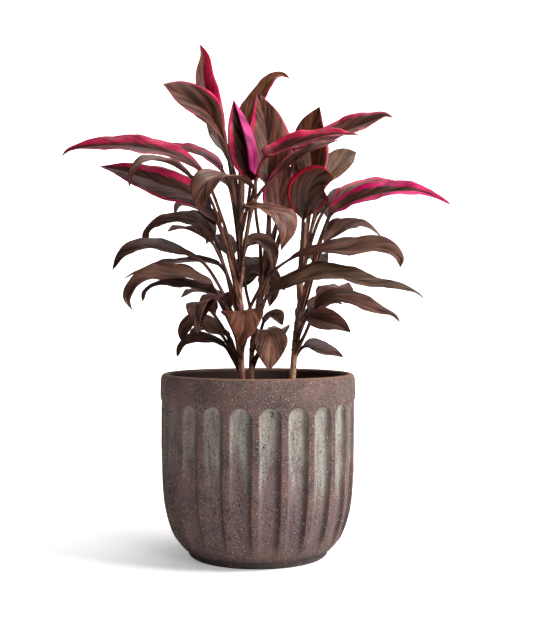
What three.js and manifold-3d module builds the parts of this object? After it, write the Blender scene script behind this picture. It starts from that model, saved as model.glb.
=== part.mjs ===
import * as THREE from 'three';
import { mergeVertices } from 'three/addons/utils/BufferGeometryUtils.js';
import Module from 'manifold-3d';

// Red ti plant in a fluted clay pot: pot, potting soil and three leafy canes.
// Millimetres, +Z up. The origin is the middle of the pot's flat underside, and the front faces -Y.

const wasm = await Module();
wasm.setup();

// Pot: a clay cylinder with a plain collar above scooped flutes, and a rounded foot.
const POT_HEIGHT = 315;
const COLLAR_RADIUS = 170;
const BODY_RADIUS = 168;
const FOOT_RADIUS = 120;
const WALL = 13;
const FLOOR = 16;
const FLUTES = 22;
const FLUTE_TURN = 7.2; // degrees from the front to the first flute on the right
const FLUTE_DEPTH = 7;
const FLUTE_SHARE = 0.7; // share of the pitch that is scooped, the rest is ridge
const FLUTE_ARCH_FOOT = 250; // height where the round top of a flute begins
const FLUTE_ARCH_TOP = 269;
const FLUTE_FADE_LOW = 20; // the flutes run out between these two heights
const FLUTE_FADE_HIGH = 80;
const ROUND_SIDES = 48; // sides of the pot's inner wall and of the soil
const ABOVE_RIM = 5; // how far the shape that hollows the pot runs out over the rim
const GAP = 0.3; // clearance between pieces that touch

// Soil: fills the pot to a little below the rim, with a plain hole for each cane.
const SOIL_TOP = POT_HEIGHT - 22;
const SOIL_BUMP = 1.25;
const BUMPS = { around: [3, 5], across: [19, 13] }; // waves round the soil, and mm per radian outwards
// Rings of the soil's surface as [share of the radius, height above SOIL_TOP, share of the bumps].
const SOIL_RINGS = [[1, -6, 0], [0.82, -2, 1], [0.55, 0, 1], [0.25, 0, 0.7]];
const CANE_DEPTH = 80; // how far a cane stands in the soil
const CANE_RINGS = 14;
const CANE_SIDES = 8;

// The place from which the leaves' points are written down: level with the middle of the plant, in front.
const VIEWPOINT = new THREE.Vector3(15, -1850, 427);

// Leaf: thickness at the midrib and halfway out to the margin, and the leaf stalk.
const MIDRIB_THICK = 2.6;
const BLADE_THICK = 1.1;
const STALK_HALF_WIDTH = 3.2;
const STALK_THICK = 4.2;
const STALK_SIDE_THICK = 0.7; // thickness beside the stalk's middle, as a share of that in the middle
const STALK_STEPS = 4;
const STALK_FOLD = 18; // degrees that the sides of the grooved stalk fold up
const RIB_ABOVE = 0.25; // share of the midrib that stands above the blade's middle layer
const RIB_TAPER = [1.3, 0.5]; // thickness of the midrib at the stalk and at the tip
const BLADE_STEP = 28; // length of blade between two rows of points
const LEAST_STEPS = 5;
const TIP_FALL = 1.12; // how hollow the outline runs to the tip, 1 being straight
const WIDEST = 0.4; // where a blade is widest, as a share of its length from the stalk
const INNER_FOLD = 1.3; // steepness of the inner and of the outer half of each side, per degree of fold
const OUTER_FOLD = 0.5;
const SINK = 0.8; // share of the fold's height by which the midrib lies below the written points
const FOLD = [22, 22];
const FACE = [0, 0, 1];
const WAVE = 2.2; // height of the waves along the margins, and the distance between them
const WAVE_LENGTH = 70;
const LEAF_SHIFT = 1.7; // radians by which each next leaf's waves start later
const MARGIN_SHIFT = 2.1; // radians between the waves of the left and the right margin
const PATH_SAMPLES = 300;

const CLAY = new THREE.MeshStandardMaterial({ color: 0x5f4b48, roughness: 0.92, metalness: 0 });
const SOIL = new THREE.MeshStandardMaterial({ color: 0x2a211c, roughness: 1, metalness: 0 });
const LEAVES = {
  left: new THREE.MeshStandardMaterial({ color: 0x5a2632, roughness: 0.5, metalness: 0 }),
  middle: new THREE.MeshStandardMaterial({ color: 0x4d2a2a, roughness: 0.5, metalness: 0 }),
  right: new THREE.MeshStandardMaterial({ color: 0x6a2436, roughness: 0.5, metalness: 0 }),
};

// Closed skin over a row of rings with equal point counts, closed at both ends by a fan to one point.
// The second half of each ring is split the other way, so that both faces of a blade fold alike.
function skin(rings, start, end) {
  const sides = rings[0].length;
  const points = [...rings.flat(), start, end];
  const first = rings.length * sides;
  const last = first + 1;
  const index = [];
  for (let row = 0; row + 1 < rings.length; row += 1) {
    for (let side = 0; side < sides; side += 1) {
      const a = row * sides + side;
      const b = row * sides + ((side + 1) % sides);
      const c = a + sides;
      const d = b + sides;
      if (side < sides / 2) {
        index.push(a, b, d, a, d, c);
      } else {
        index.push(a, b, c, b, d, c);
      }
    }
  }
  for (let side = 0; side < sides; side += 1) {
    const next = (side + 1) % sides;
    const top = (rings.length - 1) * sides;
    index.push(first, next, side);
    index.push(last, top + side, top + next);
  }
  const geometry = new THREE.BufferGeometry();
    const numbers = points.flatMap((point) => [point.x, point.y, point.z]);
  geometry.setAttribute('position', new THREE.Float32BufferAttribute(numbers, 3));
  geometry.setIndex(index);
  return geometry;
}

function solid(geometry) {
  const bare = geometry.clone();
  bare.deleteAttribute('normal');
  bare.deleteAttribute('uv');
  const merged = mergeVertices(bare, 1e-4);
  const body = new wasm.Manifold(new wasm.Mesh({
    numProp: 3,
    vertProperties: new Float32Array(merged.attributes.position.array),
    triVerts: new Uint32Array(merged.index.array),
  }));
  if (body.status() !== 'NoError' || body.volume() <= 0) {
    throw new Error(`not a closed body: ${body.status()} ${body.volume()}`);
  }
  return body;
}

function meshOf(body, name, material) {
  const { vertProperties, triVerts } = body.getMesh();
  const geometry = new THREE.BufferGeometry();
  geometry.setAttribute('position', new THREE.BufferAttribute(vertProperties, 3));
  geometry.setIndex(new THREE.BufferAttribute(triVerts, 1));
  geometry.computeVertexNormals();
  const mesh = new THREE.Mesh(geometry, material);
  mesh.name = name;
  return mesh;
}

function lathe(profile, segments) {
  const turned = new THREE.LatheGeometry(profile.map(([r, z]) => new THREE.Vector2(r, z)), segments);
  return solid(turned.rotateX(Math.PI / 2));
}

// Pot. Each row is [height, radius before the flutes are scooped out].
const POT_ROWS = [
  [0, FOOT_RADIUS], [11, FOOT_RADIUS + 2], [13, 126], [19, 134], [33, 145], [54, 154], [80, 161],
  [112, 165.5], [165, 167.5], [FLUTE_ARCH_FOOT, BODY_RADIUS], [259, BODY_RADIUS], [265, BODY_RADIUS],
  [FLUTE_ARCH_TOP, BODY_RADIUS], [271, COLLAR_RADIUS], [303, COLLAR_RADIUS], [311, COLLAR_RADIUS - 1],
  [POT_HEIGHT, COLLAR_RADIUS - 4],
];
const FLUTE_COLUMNS = [-1, -0.4, 0.4, 1]; // across one flute, -1 and 1 being its two edges

function fluteDepth(across, height) {
  const arch = Math.max(0, (height - FLUTE_ARCH_FOOT) / (FLUTE_ARCH_TOP - FLUTE_ARCH_FOOT));
  const scoop = Math.max(0, 1 - across ** 2 - arch ** 2);
  const fade = THREE.MathUtils.smoothstep(height, FLUTE_FADE_LOW, FLUTE_FADE_HIGH);
  return FLUTE_DEPTH * scoop * fade;
}

function potBody() {
  const pitch = 360 / FLUTES;
  const rings = POT_ROWS.map(([height, radius]) => {
    const ring = [];
    for (let flute = 0; flute < FLUTES; flute += 1) {
      for (const across of FLUTE_COLUMNS) {
        const degrees = FLUTE_TURN - 90 + pitch * (flute + 0.5 * FLUTE_SHARE * across);
        const turn = THREE.MathUtils.degToRad(degrees);
        const r = radius - fluteDepth(across, height);
        ring.push(new THREE.Vector3(r * Math.cos(turn), r * Math.sin(turn), height));
      }
    }
    return ring;
  });
  const outside = solid(skin(rings, new THREE.Vector3(0, 0, 0), new THREE.Vector3(0, 0, POT_HEIGHT)));
    const mouth = [0, POT_HEIGHT + ABOVE_RIM];
  const inside = lathe([[0, FLOOR], [FOOT_RADIUS - WALL, FLOOR], ...wallProfile(0), mouth], ROUND_SIDES);
  return outside.subtract(inside);
}

// The inner wall from the floor up to the mouth, drawn in by a clearance.
function wallProfile(clearance) {
  const radius = BODY_RADIUS - WALL - clearance;
  return [
        [radius - 22, 36], [radius - 8, 70], [radius, 115], [radius, POT_HEIGHT - 5],
    [radius + 3, POT_HEIGHT + ABOVE_RIM],
  ];
}

// Canes: [x, z, depth] as seen from the viewpoint, from the lower end in the soil to the crown.
const CANES = {
  left: { radius: [6.5, 4], points: [[-28, 308, -12], [-30, 360, -11], [-30, 425, -9], [-33, 452, -8],
    [-30, 500, -6], [-31, 583, -3], [-30, 661, 0], [-30, 684, 0]] },
  middle: { radius: [5, 4], points: [[-12, 308, 22], [-10, 360, 24], [-4, 405, 27], [4, 455, 32],
    [12, 510, 36], [15, 545, 37]] },
  right: { radius: [6, 4.5], points: [[60, 308, 5], [64, 350, 5], [69, 400, 5], [74, 434, 4], [73, 465, 4],
    [77, 520, 4], [82, 580, 3]] },
};

// Leaves of each cane, from the crown down. root is the height on the cane where the stalk comes out;
// stalk and blade hold the leaf's middle line as [x, z, depth] seen from the viewpoint; width is the
// blade's; fold gives how far the left and right sides fold up from flat, in degrees, and curl the
// steepness of their outer halves where it differs; face is the direction that the upper side looks in.
const LEAF_TABLE = {
  left: [
    { root: 560, stalk: [[-20, 600, -10], [-15, 630, -20]],
      blade: [[-13, 652, -26], [-12, 686, -36], [-17, 718, -44], [-28, 755, -46], [-43, 794, -34]],
      width: 84, fold: [22, 26], curl: [28, 150], face: [0.1, -1, 0.1], widest: 0.38 },
    { root: 560, stalk: [[-26, 620, 8], [-26, 670, 16]],
      blade: [[-28, 712, 24], [-16, 772, 42], [8, 812, 55], [26, 834, 62], [42, 838, 66], [57, 830, 68]],
      width: 44, face: [-0.4, -0.8, 0.2] },
    { root: 540, stalk: [[-40, 636, 2], [-47, 684, 6]],
      blade: [[-58, 722, 10], [-72, 762, 16], [-84, 796, 18], [-93, 834, 16], [-93, 868, 10], [-102, 892, 4]],
      width: 45, fold: [26, 30], face: [0.3, -0.95, 0], widest: 0.5 },
    { root: 550, stalk: [[-46, 654, -6]],
      blade: [[-56, 710, -8], [-70, 748, -6], [-90, 780, -4], [-115, 798, -6], [-141, 810, -12],
      [-167, 821, -22]], width: 64, fold: [22, 30], face: [0.2, -0.9, 0.4], widest: 0.6 },
    { root: 560, stalk: [[-34, 610, 14], [-42, 668, 24]],
      blade: [[-58, 700, 50], [-72, 738, 80], [-84, 776, 106], [-91, 800, 128]], width: 34,
      face: [0, -0.6, 0.8] },
    { root: 476, stalk: [[-20, 556, -22], [-6, 640, -38]],
      blade: [[12, 692, -50], [48, 716, -62], [90, 729, -72], [130, 736, -80], [180, 732, -86]], width: 56,
      face: [-0.3, -0.6, 0.75], widest: 0.27 },
    { root: 500, stalk: [[-38, 570, -4], [-49, 637, -4]],
      blade: [[-62, 668, 8], [-91, 698, 24], [-133, 712, 44], [-175, 718, 62], [-220, 719, 78]], width: 46,
      face: [0, -0.35, 0.95] },
    { root: 466, stalk: [[-22, 540, -16], [-4, 618, -28]],
      blade: [[26, 656, -36], [56, 688, -46], [91, 709, -52], [144, 724, -48]], width: 44,
      face: [-0.3, -0.5, 0.8] },
    { root: 520, stalk: [[-36, 568, 16], [-42, 611, 30]],
      blade: [[-49, 640, 60], [-63, 660, 110], [-80, 662, 160], [-91, 635, 205]], width: 50 },
    { root: 500, stalk: [[-30, 556, -14], [-18, 604, -30]],
      blade: [[-6, 634, -52], [-26, 654, -84], [-56, 666, -116], [-84, 660, -140], [-98, 636, -154],
        [-104, 598, -160]], width: 68, fold: [12, 12], face: [-0.1, -0.4, 0.9], widest: 0.54 },
    { root: 500, stalk: [[-31, 572, -20]],
      blade: [[-24, 606, -42], [-4, 610, -74], [24, 603, -108], [46, 588, -134], [50, 562, -146],
        [40, 528, -152]], width: 62, fold: [12, 12], face: [0.1, -0.35, 0.9] },
    { root: 462, stalk: [[-46, 530, -14], [-66, 594, -28]],
      blade: [[-92, 657, -46], [-118, 686, -60], [-150, 703, -70], [-190, 713, -78], [-238, 718, -84],
      [-294, 715, -88], [-331, 706, -88], [-346, 692, -86]], width: 46, face: [0, -0.75, 0.65],
      widest: 0.46 },
    { root: 450, stalk: [[-40, 500, 6], [-52, 548, 16]],
      blade: [[-66, 572, 34], [-91, 600, 72], [-119, 612, 112], [-140, 609, 146], [-146, 592, 166]],
      width: 46 },
    { root: 440, stalk: [[-46, 496, -8], [-62, 555, -18]],
      blade: [[-84, 604, -40], [-104, 623, -54], [-130, 636, -62], [-162, 646, -66], [-200, 659, -68],
      [-240, 671, -66], [-278, 677, -60]], width: 60, fold: [12, 14], face: [-0.05, -0.9, 0.45] },
    { root: 430, stalk: [[-42, 480, -20], [-60, 552, -44]],
      blade: [[-84, 621, -72], [-112, 660, -100], [-154, 688, -126], [-196, 691, -146], [-219, 670, -158],
        [-226, 638, -162]], width: 40, face: [0, -0.4, 0.9] },
    { root: 404, stalk: [[-44, 442, 4], [-58, 498, 10]],
      blade: [[-77, 551, 20], [-96, 579, 32], [-131, 588, 44], [-172, 581, 54], [-194, 562, 60],
        [-199, 534, 62]], width: 58, face: [0, -0.5, 0.85] },
    { root: 398, stalk: [[-40, 434, -6], [-54, 488, -14]],
      blade: [[-80, 543, -26], [-102, 565, -54], [-130, 574, -90], [-160, 562, -122]], width: 50,
      face: [-0.1, -0.3, 0.9] },
    { root: 400, stalk: [[-34, 440, 22], [-38, 486, 40]],
      blade: [[-46, 515, 62], [-60, 548, 112], [-77, 560, 164], [-91, 540, 210]], width: 50 },
    { root: 380, stalk: [[-44, 416, -10], [-66, 464, -24]],
      blade: [[-94, 506, -40], [-122, 525, -52], [-163, 537, -64], [-206, 541, -72], [-238, 523, -76],
        [-256, 493, -76]], width: 50, face: [0, -0.5, 0.85], widest: 0.5 },
    { root: 384, stalk: [[-36, 420, 8], [-46, 466, 26]],
      blade: [[-66, 503, 44], [-98, 515, 66], [-150, 512, 82], [-198, 500, 92], [-239, 478, 96]], width: 38,
      face: [0, -0.3, 0.95] },
    { root: 372, stalk: [[-20, 412, -18], [0, 456, -36]],
      blade: [[26, 492, -48], [58, 516, -62], [92, 530, -70], [126, 535, -76], [164, 537, -80],
        [203, 541, -83], [232, 534, -84], [248, 517, -84], [249, 498, -82]], width: 56,
      face: [0, -0.6, 0.75], widest: 0.64 },
    { root: 360, stalk: [[-50, 404, -6]], blade: [[-74, 449, -2], [-102, 467, 8], [-142, 474, 18],
      [-178, 472, 26], [-198, 458, 30], [-202, 438, 30]], width: 42, face: [0, -0.45, 0.9] },
    { root: 350, stalk: [[-16, 388, -34], [0, 424, -56]],
      blade: [[20, 452, -72], [47, 473, -86], [76, 485, -92], [110, 494, -96], [146, 491, -100],
        [182, 481, -102], [217, 472, -100], [253, 466, -97], [278, 456, -94], [295, 441, -92]], width: 56,
      face: [0, -0.55, 0.8], widest: 0.34 },
    { root: 345, stalk: [[-40, 384, -24], [-54, 426, -46]],
      blade: [[-80, 466, -66], [-106, 486, -90], [-136, 493, -108], [-164, 493, -122], [-190, 489, -130],
        [-212, 478, -136], [-225, 462, -138], [-229, 444, -138], [-219, 423, -136]], width: 56,
      face: [0, -0.55, 0.8], widest: 0.34 },
    { root: 340, stalk: [[-44, 400, 16]], blade: [[-58, 440, 34], [-84, 460, 66], [-112, 462, 108],
      [-136, 446, 144]], width: 44 },
    { root: 336, stalk: [[-40, 384, -22]], blade: [[-50, 425, -38], [-66, 455, -62], [-86, 443, -90],
      [-103, 395, -106]], width: 44, face: [-0.2, -0.35, 0.9] },
    { root: 338, stalk: [[-34, 372, -24]], blade: [[-34, 402, -42], [-32, 426, -74], [-24, 418, -106],
      [-26, 388, -126], [-35, 358, -130]], width: 70, fold: [8, 8], face: [0, -0.4, 0.9] },
    { root: 326, stalk: [[-42, 352, -12], [-58, 388, -24]],
      blade: [[-76, 416, -46], [-94, 440, -88], [-107, 438, -128], [-109, 414, -152], [-105, 382, -160]],
      width: 44, fold: [8, 8], face: [-0.2, -0.35, 0.9] },
    { root: 322, stalk: [[-44, 348, -4]], blade: [[-64, 382, -10], [-93, 404, -20], [-117, 408, -30],
      [-130, 390, -36], [-129, 359, -38]], width: 38, face: [-0.3, -0.7, 0.6] },
    { root: 318, stalk: [[-38, 344, 6]], blade: [[-50, 378, 20], [-79, 396, 52], [-105, 392, 88],
      [-126, 366, 114]], width: 38 },
    { root: 312, stalk: [[-42, 336, -4]], blade: [[-58, 362, -8], [-82, 376, -14], [-112, 376, -22],
      [-134, 364, -26], [-142, 342, -28]], width: 38, face: [0, -0.5, 0.9] },
    { root: 452, stalk: [[-28, 500, 2]], blade: [[-20, 536, 4], [-6, 550, 5], [10, 547, 5], [22, 533, 4],
      [27, 513, 4], [27, 492, 4]], width: 34, face: [0.2, -0.8, 0.6] },
    { root: 366, stalk: [[-30, 420, 20]], blade: [[-32, 462, 40], [-22, 496, 62], [-8, 510, 92],
      [4, 500, 118]], width: 52, face: [0.3, -0.7, 0.6] },
  ],
  middle: [
    { root: 470, stalk: [[14, 530, 32], [18, 592, 26]],
      blade: [[18, 649, 20], [19, 700, 18], [14, 755, 16], [-2, 808, 6]], width: 88, fold: [12, 16],
      face: [0.2, -1, 0.1], widest: 0.36 },
    { root: 480, stalk: [[20, 545, 44], [20, 600, 56]],
      blade: [[18, 640, 72], [16, 690, 98], [10, 730, 122], [4, 756, 140]], width: 54, face: [0, -0.6, 0.8] },
    { root: 466, stalk: [[4, 536, 40], [-4, 600, 44]],
      blade: [[-4, 650, 48], [-4, 691, 50], [0, 719, 50], [0, 750, 46]], width: 36, face: [0, -1, 0.2] },
    { root: 450, stalk: [[22, 520, 34], [42, 610, 18]],
      blade: [[77, 710, -4], [117, 731, -12], [161, 749, -18], [198, 761, -22], [223, 767, -24],
      [238, 761, -24]], width: 56, face: [0, -0.7, 0.7], widest: 0.5 },
    { root: 440, stalk: [[26, 510, 26]], blade: [[44, 579, 16], [38, 618, 8], [42, 653, 4], [52, 692, 4]],
      width: 62, fold: [10, 10], face: [0.2, -1, 0.1] },
    { root: 436, stalk: [[24, 500, 40], [38, 556, 38]],
      blade: [[60, 592, 40], [66, 635, 42], [70, 670, 42], [72, 702, 38]], width: 40, face: [0, -1, 0.2] },
    { root: 430, stalk: [[14, 486, 50], [24, 548, 64]],
      blade: [[35, 583, 88], [49, 612, 130], [56, 620, 180], [60, 598, 225]], width: 52 },
    { root: 392, stalk: [[12, 440, 50]], blade: [[18, 466, 66], [26, 484, 100], [38, 482, 150],
      [46, 458, 195]], width: 46, face: [0, -0.3, 1] },
    { root: 380, stalk: [[-14, 428, 36]], blade: [[-22, 470, 38], [-16, 496, 44], [2, 500, 52],
      [18, 482, 58], [24, 454, 60], [20, 430, 58]], width: 60, face: [0.1, -0.7, 0.7] },
    { root: 350, stalk: [[2, 376, 20]], blade: [[10, 404, 16], [20, 420, 4], [33, 416, -8],
      [43, 398, -18]], width: 40, face: [0, -0.5, 0.8] },
    { root: 330, stalk: [[0, 350, 2]], blade: [[8, 378, -14], [16, 392, -42], [22, 376, -84],
      [21, 346, -104],
      [19, 318, -110]], width: 58, fold: [6, 6], face: [0, -0.4, 0.9], widest: 0.58 },
    { root: 322, stalk: [[4, 350, 20]], blade: [[20, 376, 34], [34, 394, 66], [42, 396, 104],
      [46, 380, 142]], width: 40 },
    { root: 314, stalk: [[-2, 342, 44]], blade: [[4, 372, 80], [8, 392, 120], [8, 392, 160],
      [4, 370, 196]], width: 44 },
  ],
  right: [
    { root: 496, stalk: [[86, 560, 8]], blade: [[93, 618, 14], [94, 679, 22], [93, 738, 26],
      [108, 782, 14]], width: 67, fold: [14, 18], face: [0, -1, 0.1], widest: 0.55 },
    { root: 500, stalk: [[84, 560, 30]], blade: [[92, 620, 62], [97, 672, 90], [100, 722, 114],
      [104, 752, 132]], width: 44, face: [0, -0.6, 0.8] },
    { root: 474, stalk: [[90, 550, 20]], blade: [[106, 620, 32], [118, 654, 46], [136, 681, 60],
      [156, 697, 76], [173, 702, 88]], width: 60, face: [-0.3, -0.85, 0.35], widest: 0.62 },
    { root: 480, stalk: [[78, 536, -10]], blade: [[79, 582, -24], [83, 612, -36], [92, 638, -46],
      [108, 654, -52], [134, 657, -56]], width: 76, fold: [10, 10], face: [0, -1, 0.15], widest: 0.5 },
    { root: 470, stalk: [[88, 526, 14], [105, 579, 24]],
      blade: [[119, 604, 42], [136, 626, 76], [154, 639, 112], [168, 632, 146]], width: 42 },
    { root: 460, stalk: [[82, 510, 24], [92, 560, 42]],
      blade: [[102, 590, 72], [112, 612, 118], [118, 612, 168], [122, 585, 212]], width: 52 },
    { root: 430, stalk: [[88, 480, 6], [107, 543, 6]],
      blade: [[128, 593, 6], [154, 630, 14], [189, 645, 22], [234, 646, 28], [276, 641, 32], [313, 624, 34]],
      width: 46, face: [0, -0.55, 0.85] },
    { root: 420, stalk: [[76, 462, 24], [80, 494, 40]],
      blade: [[86, 516, 64], [98, 524, 114], [108, 512, 156], [116, 486, 192]], width: 50 },
    { root: 414, stalk: [[84, 456, -6], [106, 530, -18]],
      blade: [[126, 590, -32], [152, 614, -42], [182, 628, -54], [214, 636, -62], [251, 639, -70],
        [283, 636, -74], [313, 624, -76], [341, 608, -76]], width: 50, face: [0, -0.7, 0.7],
      widest: 0.36 },
    { root: 400, stalk: [[86, 446, 8], [102, 504, 14]], blade: [[117, 542, 24], [138, 569, 46],
      [164, 579, 74], [195, 573, 102], [221, 548, 124]], width: 52, face: [-0.1, -0.6, 0.8] },
    { root: 380, stalk: [[86, 424, 34]], blade: [[104, 450, 66], [128, 468, 110], [150, 468, 156],
      [170, 446, 196]], width: 48 },
    { root: 364, stalk: [[74, 392, -14]], blade: [[86, 410, -32], [102, 413, -46], [122, 408, -58],
      [145, 399, -66], [163, 386, -70]], width: 48, face: [0, -0.8, 0.5] },
    { root: 358, stalk: [[78, 396, 8]], blade: [[89, 422, 18], [107, 439, 36], [130, 444, 58],
      [150, 435, 80]], width: 42, face: [0, -0.6, 0.7] },
    { root: 344, stalk: [[66, 374, 24]], blade: [[74, 400, 44], [84, 424, 86], [90, 428, 134],
      [94, 406, 178]], width: 44 },
    { root: 346, stalk: [[84, 386, -8]], blade: [[101, 426, -18], [114, 445, -26], [136, 452, -32],
      [160, 448, -36], [186, 438, -40], [212, 427, -43], [238, 416, -44], [250, 402, -44]], width: 46,
      face: [0, -0.6, 0.8] },
    { root: 322, stalk: [[68, 346, 8]], blade: [[80, 361, 14], [96, 364, 24], [113, 360, 34],
      [132, 353, 44], [150, 343, 54]], width: 34, face: [0, -0.8, 0.55] },
  ],
};

// A point written down as seen from the viewpoint, moved along its line of sight to its own depth.
function seen([x, z, depth]) {
  const point = new THREE.Vector3(x, 0, z);
  return point.sub(VIEWPOINT).multiplyScalar(1 - depth / VIEWPOINT.y).add(VIEWPOINT);
}

function caneCurve({ points }) {
  const above = points.map(seen);
  const foot = above[0].clone();
  foot.z = SOIL_TOP - CANE_DEPTH;
  const surface = above[0].clone();
  surface.z = SOIL_TOP;
  return new THREE.CatmullRomCurve3([foot, surface, ...above.slice(1)], false, 'centripetal');
}

function caneAxisAt(curve, height) {
  let low = 0;
  let high = 1;
  for (let step = 0; step < 30; step += 1) {
    const middle = (low + high) / 2;
    if (curve.getPoint(middle).z < height) {
      low = middle;
    } else {
      high = middle;
    }
  }
  return curve.getPoint(low);
}

// A round cane, thinner towards the crown, whose rings lie level.
function caneBody(cane, extra = 0) {
  const curve = caneCurve(cane);
  const rings = [];
  for (let step = 0; step <= CANE_RINGS; step += 1) {
    const share = step / CANE_RINGS;
    const centre = curve.getPointAt(share);
    const radius = THREE.MathUtils.lerp(cane.radius[0], cane.radius[1], share) + extra;
    const ring = [];
    for (let side = 0; side < CANE_SIDES; side += 1) {
      const turn = (2 * Math.PI * side) / CANE_SIDES;
      ring.push(new THREE.Vector3(radius * Math.cos(turn), radius * Math.sin(turn), 0).add(centre));
    }
    rings.push(ring);
  }
  const below = curve.getPointAt(0);
  const above = curve.getPointAt(1).add(new THREE.Vector3(0, 0, cane.radius[1]));
  return solid(skin(rings, below, above));
}

// Outline of a lance-shaped blade: share of the full width at a share of the length.
function bladeShape(along, widest) {
  const rise = (TIP_FALL * widest) / (1 - widest);
  const top = widest ** rise * (1 - widest) ** TIP_FALL;
  return (along ** rise * (1 - along) ** TIP_FALL) / top;
}

// One row of eight points round the leaf: left margin, upper side, right margin, lower side. Each side
// has an inner half at one angle and an outer half at another, and lift waves the margins.
function leafRing({ centre, tangent, face, halfWidth, rib, blade, inner, outer, lift }) {
  const up = face.clone().addScaledVector(tangent, -face.dot(tangent)).normalize();
  const side = new THREE.Vector3().crossVectors(tangent, up);
  const half = halfWidth / 2;
  const sides = [-1, 1].map((hand, number) => {
    const [a, b] = [inner[number], outer[number]].map(THREE.MathUtils.degToRad);
    const quarter = [half * Math.cos(a), half * Math.sin(a)];
    const margin = [quarter[0] + half * Math.cos(b), quarter[1] + half * Math.sin(b) + lift[number]];
    const point = ([out, rise]) => centre.clone().addScaledVector(side, hand * out).addScaledVector(up, rise);
    const shell = (height) => point([
      quarter[0] - height * Math.sin((a + b) / 2), quarter[1] + height * Math.cos((a + b) / 2),
    ]);
    return { margin: point(margin), upper: shell(blade / 2), lower: shell(-blade / 2) };
  });
  const [left, right] = sides;
  const ribTop = centre.clone().addScaledVector(up, rib * RIB_ABOVE);
  const ribFoot = centre.clone().addScaledVector(up, -rib * (1 - RIB_ABOVE));
  return [left.margin, left.upper, ribTop, right.upper, right.margin, right.lower, ribFoot, left.lower];
}

function leafBody(leaf, curve, number) {
  const path = new THREE.CatmullRomCurve3(
    [caneAxisAt(curve, leaf.root), ...leaf.stalk.map(seen), ...leaf.blade.map(seen)], false, 'centripetal');
  const count = path.points.length;
  const bladeStart = (count - leaf.blade.length) / (count - 1);
  const lengths = path.getLengths(PATH_SAMPLES);
  const startShare = lengths[Math.round(bladeStart * PATH_SAMPLES)] / lengths[PATH_SAMPLES];
  const bladeLength = lengths[PATH_SAMPLES] * (1 - startShare);
  const face = new THREE.Vector3(...(leaf.face ?? FACE));
  const fold = leaf.fold ?? FOLD;
  const inner = fold.map((angle) => angle * INNER_FOLD);
  const outer = leaf.curl ?? fold.map((angle) => angle * OUTER_FOLD);
  const rings = [];
  for (let step = 0; step < STALK_STEPS; step += 1) {
    const share = (startShare * step) / STALK_STEPS;
    rings.push(leafRing({
      centre: path.getPointAt(share), tangent: path.getTangentAt(share), face, halfWidth: STALK_HALF_WIDTH,
      rib: STALK_THICK, blade: STALK_THICK * STALK_SIDE_THICK, inner: [STALK_FOLD, STALK_FOLD],
      outer: [STALK_FOLD, STALK_FOLD], lift: [0, 0],
    }));
  }
  const steps = Math.max(LEAST_STEPS, Math.round(bladeLength / BLADE_STEP));
  for (let step = 0; step < steps; step += 1) {
    const along = step / steps;
    const share = startShare + (1 - startShare) * along;
    const tangent = path.getTangentAt(share);
    const halfWidth = Math.max(STALK_HALF_WIDTH, (leaf.width / 2) * bladeShape(along, leaf.widest ?? WIDEST));
    const up = face.clone().addScaledVector(tangent, -face.dot(tangent)).normalize();
    const sink = SINK * halfWidth * Math.sin(THREE.MathUtils.degToRad((fold[0] + fold[1]) / 2));
    const phase = (2 * Math.PI * along * bladeLength) / WAVE_LENGTH + number * LEAF_SHIFT;
    const wave = WAVE * Math.sin(Math.PI * along);
    rings.push(leafRing({
      centre: path.getPointAt(share).addScaledVector(up, -sink), tangent, face, halfWidth,
      rib: MIDRIB_THICK * THREE.MathUtils.lerp(...RIB_TAPER, along),
      blade: step === 0 ? (STALK_THICK * STALK_SIDE_THICK) / 2 : BLADE_THICK, inner, outer,
      lift: [wave * Math.sin(phase), wave * Math.sin(phase + MARGIN_SHIFT)],
    }));
  }
  return solid(skin(rings, path.getPointAt(0), path.getPointAt(1)));
}

function leafyCane(name) {
  const curve = caneCurve(CANES[name]);
  let body = caneBody(CANES[name]);
  LEAF_TABLE[name].forEach((leaf, number) => {
    body = body.add(leafBody(leaf, curve, number));
  });
  return body;
}

// Soil: rings of gentle bumps by a formula, down to the pot's floor.
function soilBody() {
  const wall = wallProfile(GAP);
  const rimRadius = wall[2][0];
  const ringAt = (radius, height, bump) => {
    const ring = [];
    for (let side = 0; side < ROUND_SIDES; side += 1) {
      const turn = (2 * Math.PI * side) / ROUND_SIDES;
            const first = Math.sin(BUMPS.around[0] * turn + radius / BUMPS.across[0]);
      const second = Math.cos(BUMPS.around[1] * turn - radius / BUMPS.across[1]);
      const swell = bump * (first + second);
      ring.push(new THREE.Vector3(radius * Math.cos(turn), radius * Math.sin(turn), height + swell));
    }
    return ring;
  };
  const rings = [
    ringAt(FOOT_RADIUS - WALL - GAP, FLOOR + GAP, 0),
    ...wall.slice(0, 3).map(([radius, height]) => ringAt(radius, height, 0)),
        ...SOIL_RINGS.map(([share, height, bump]) => (
      ringAt(rimRadius * share, SOIL_TOP + height, SOIL_BUMP * bump))),
  ];
  const below = new THREE.Vector3(0, 0, FLOOR + GAP);
  const above = new THREE.Vector3(0, 0, SOIL_TOP);
  let body = solid(skin(rings, below, above));
  for (const cane of Object.values(CANES)) {
    body = body.subtract(caneBody(cane, GAP));
  }
  return body;
}

const plant = new THREE.Group();
plant.add(meshOf(potBody(), 'pot', CLAY));
plant.add(meshOf(soilBody(), 'potting_soil', SOIL));
for (const name of Object.keys(CANES)) {
  plant.add(meshOf(leafyCane(name), `leafy_cane_${name}`, LEAVES[name]));
}

export default plant;
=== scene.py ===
import math
import random

import bpy
import numpy as np
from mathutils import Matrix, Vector, noise


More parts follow.
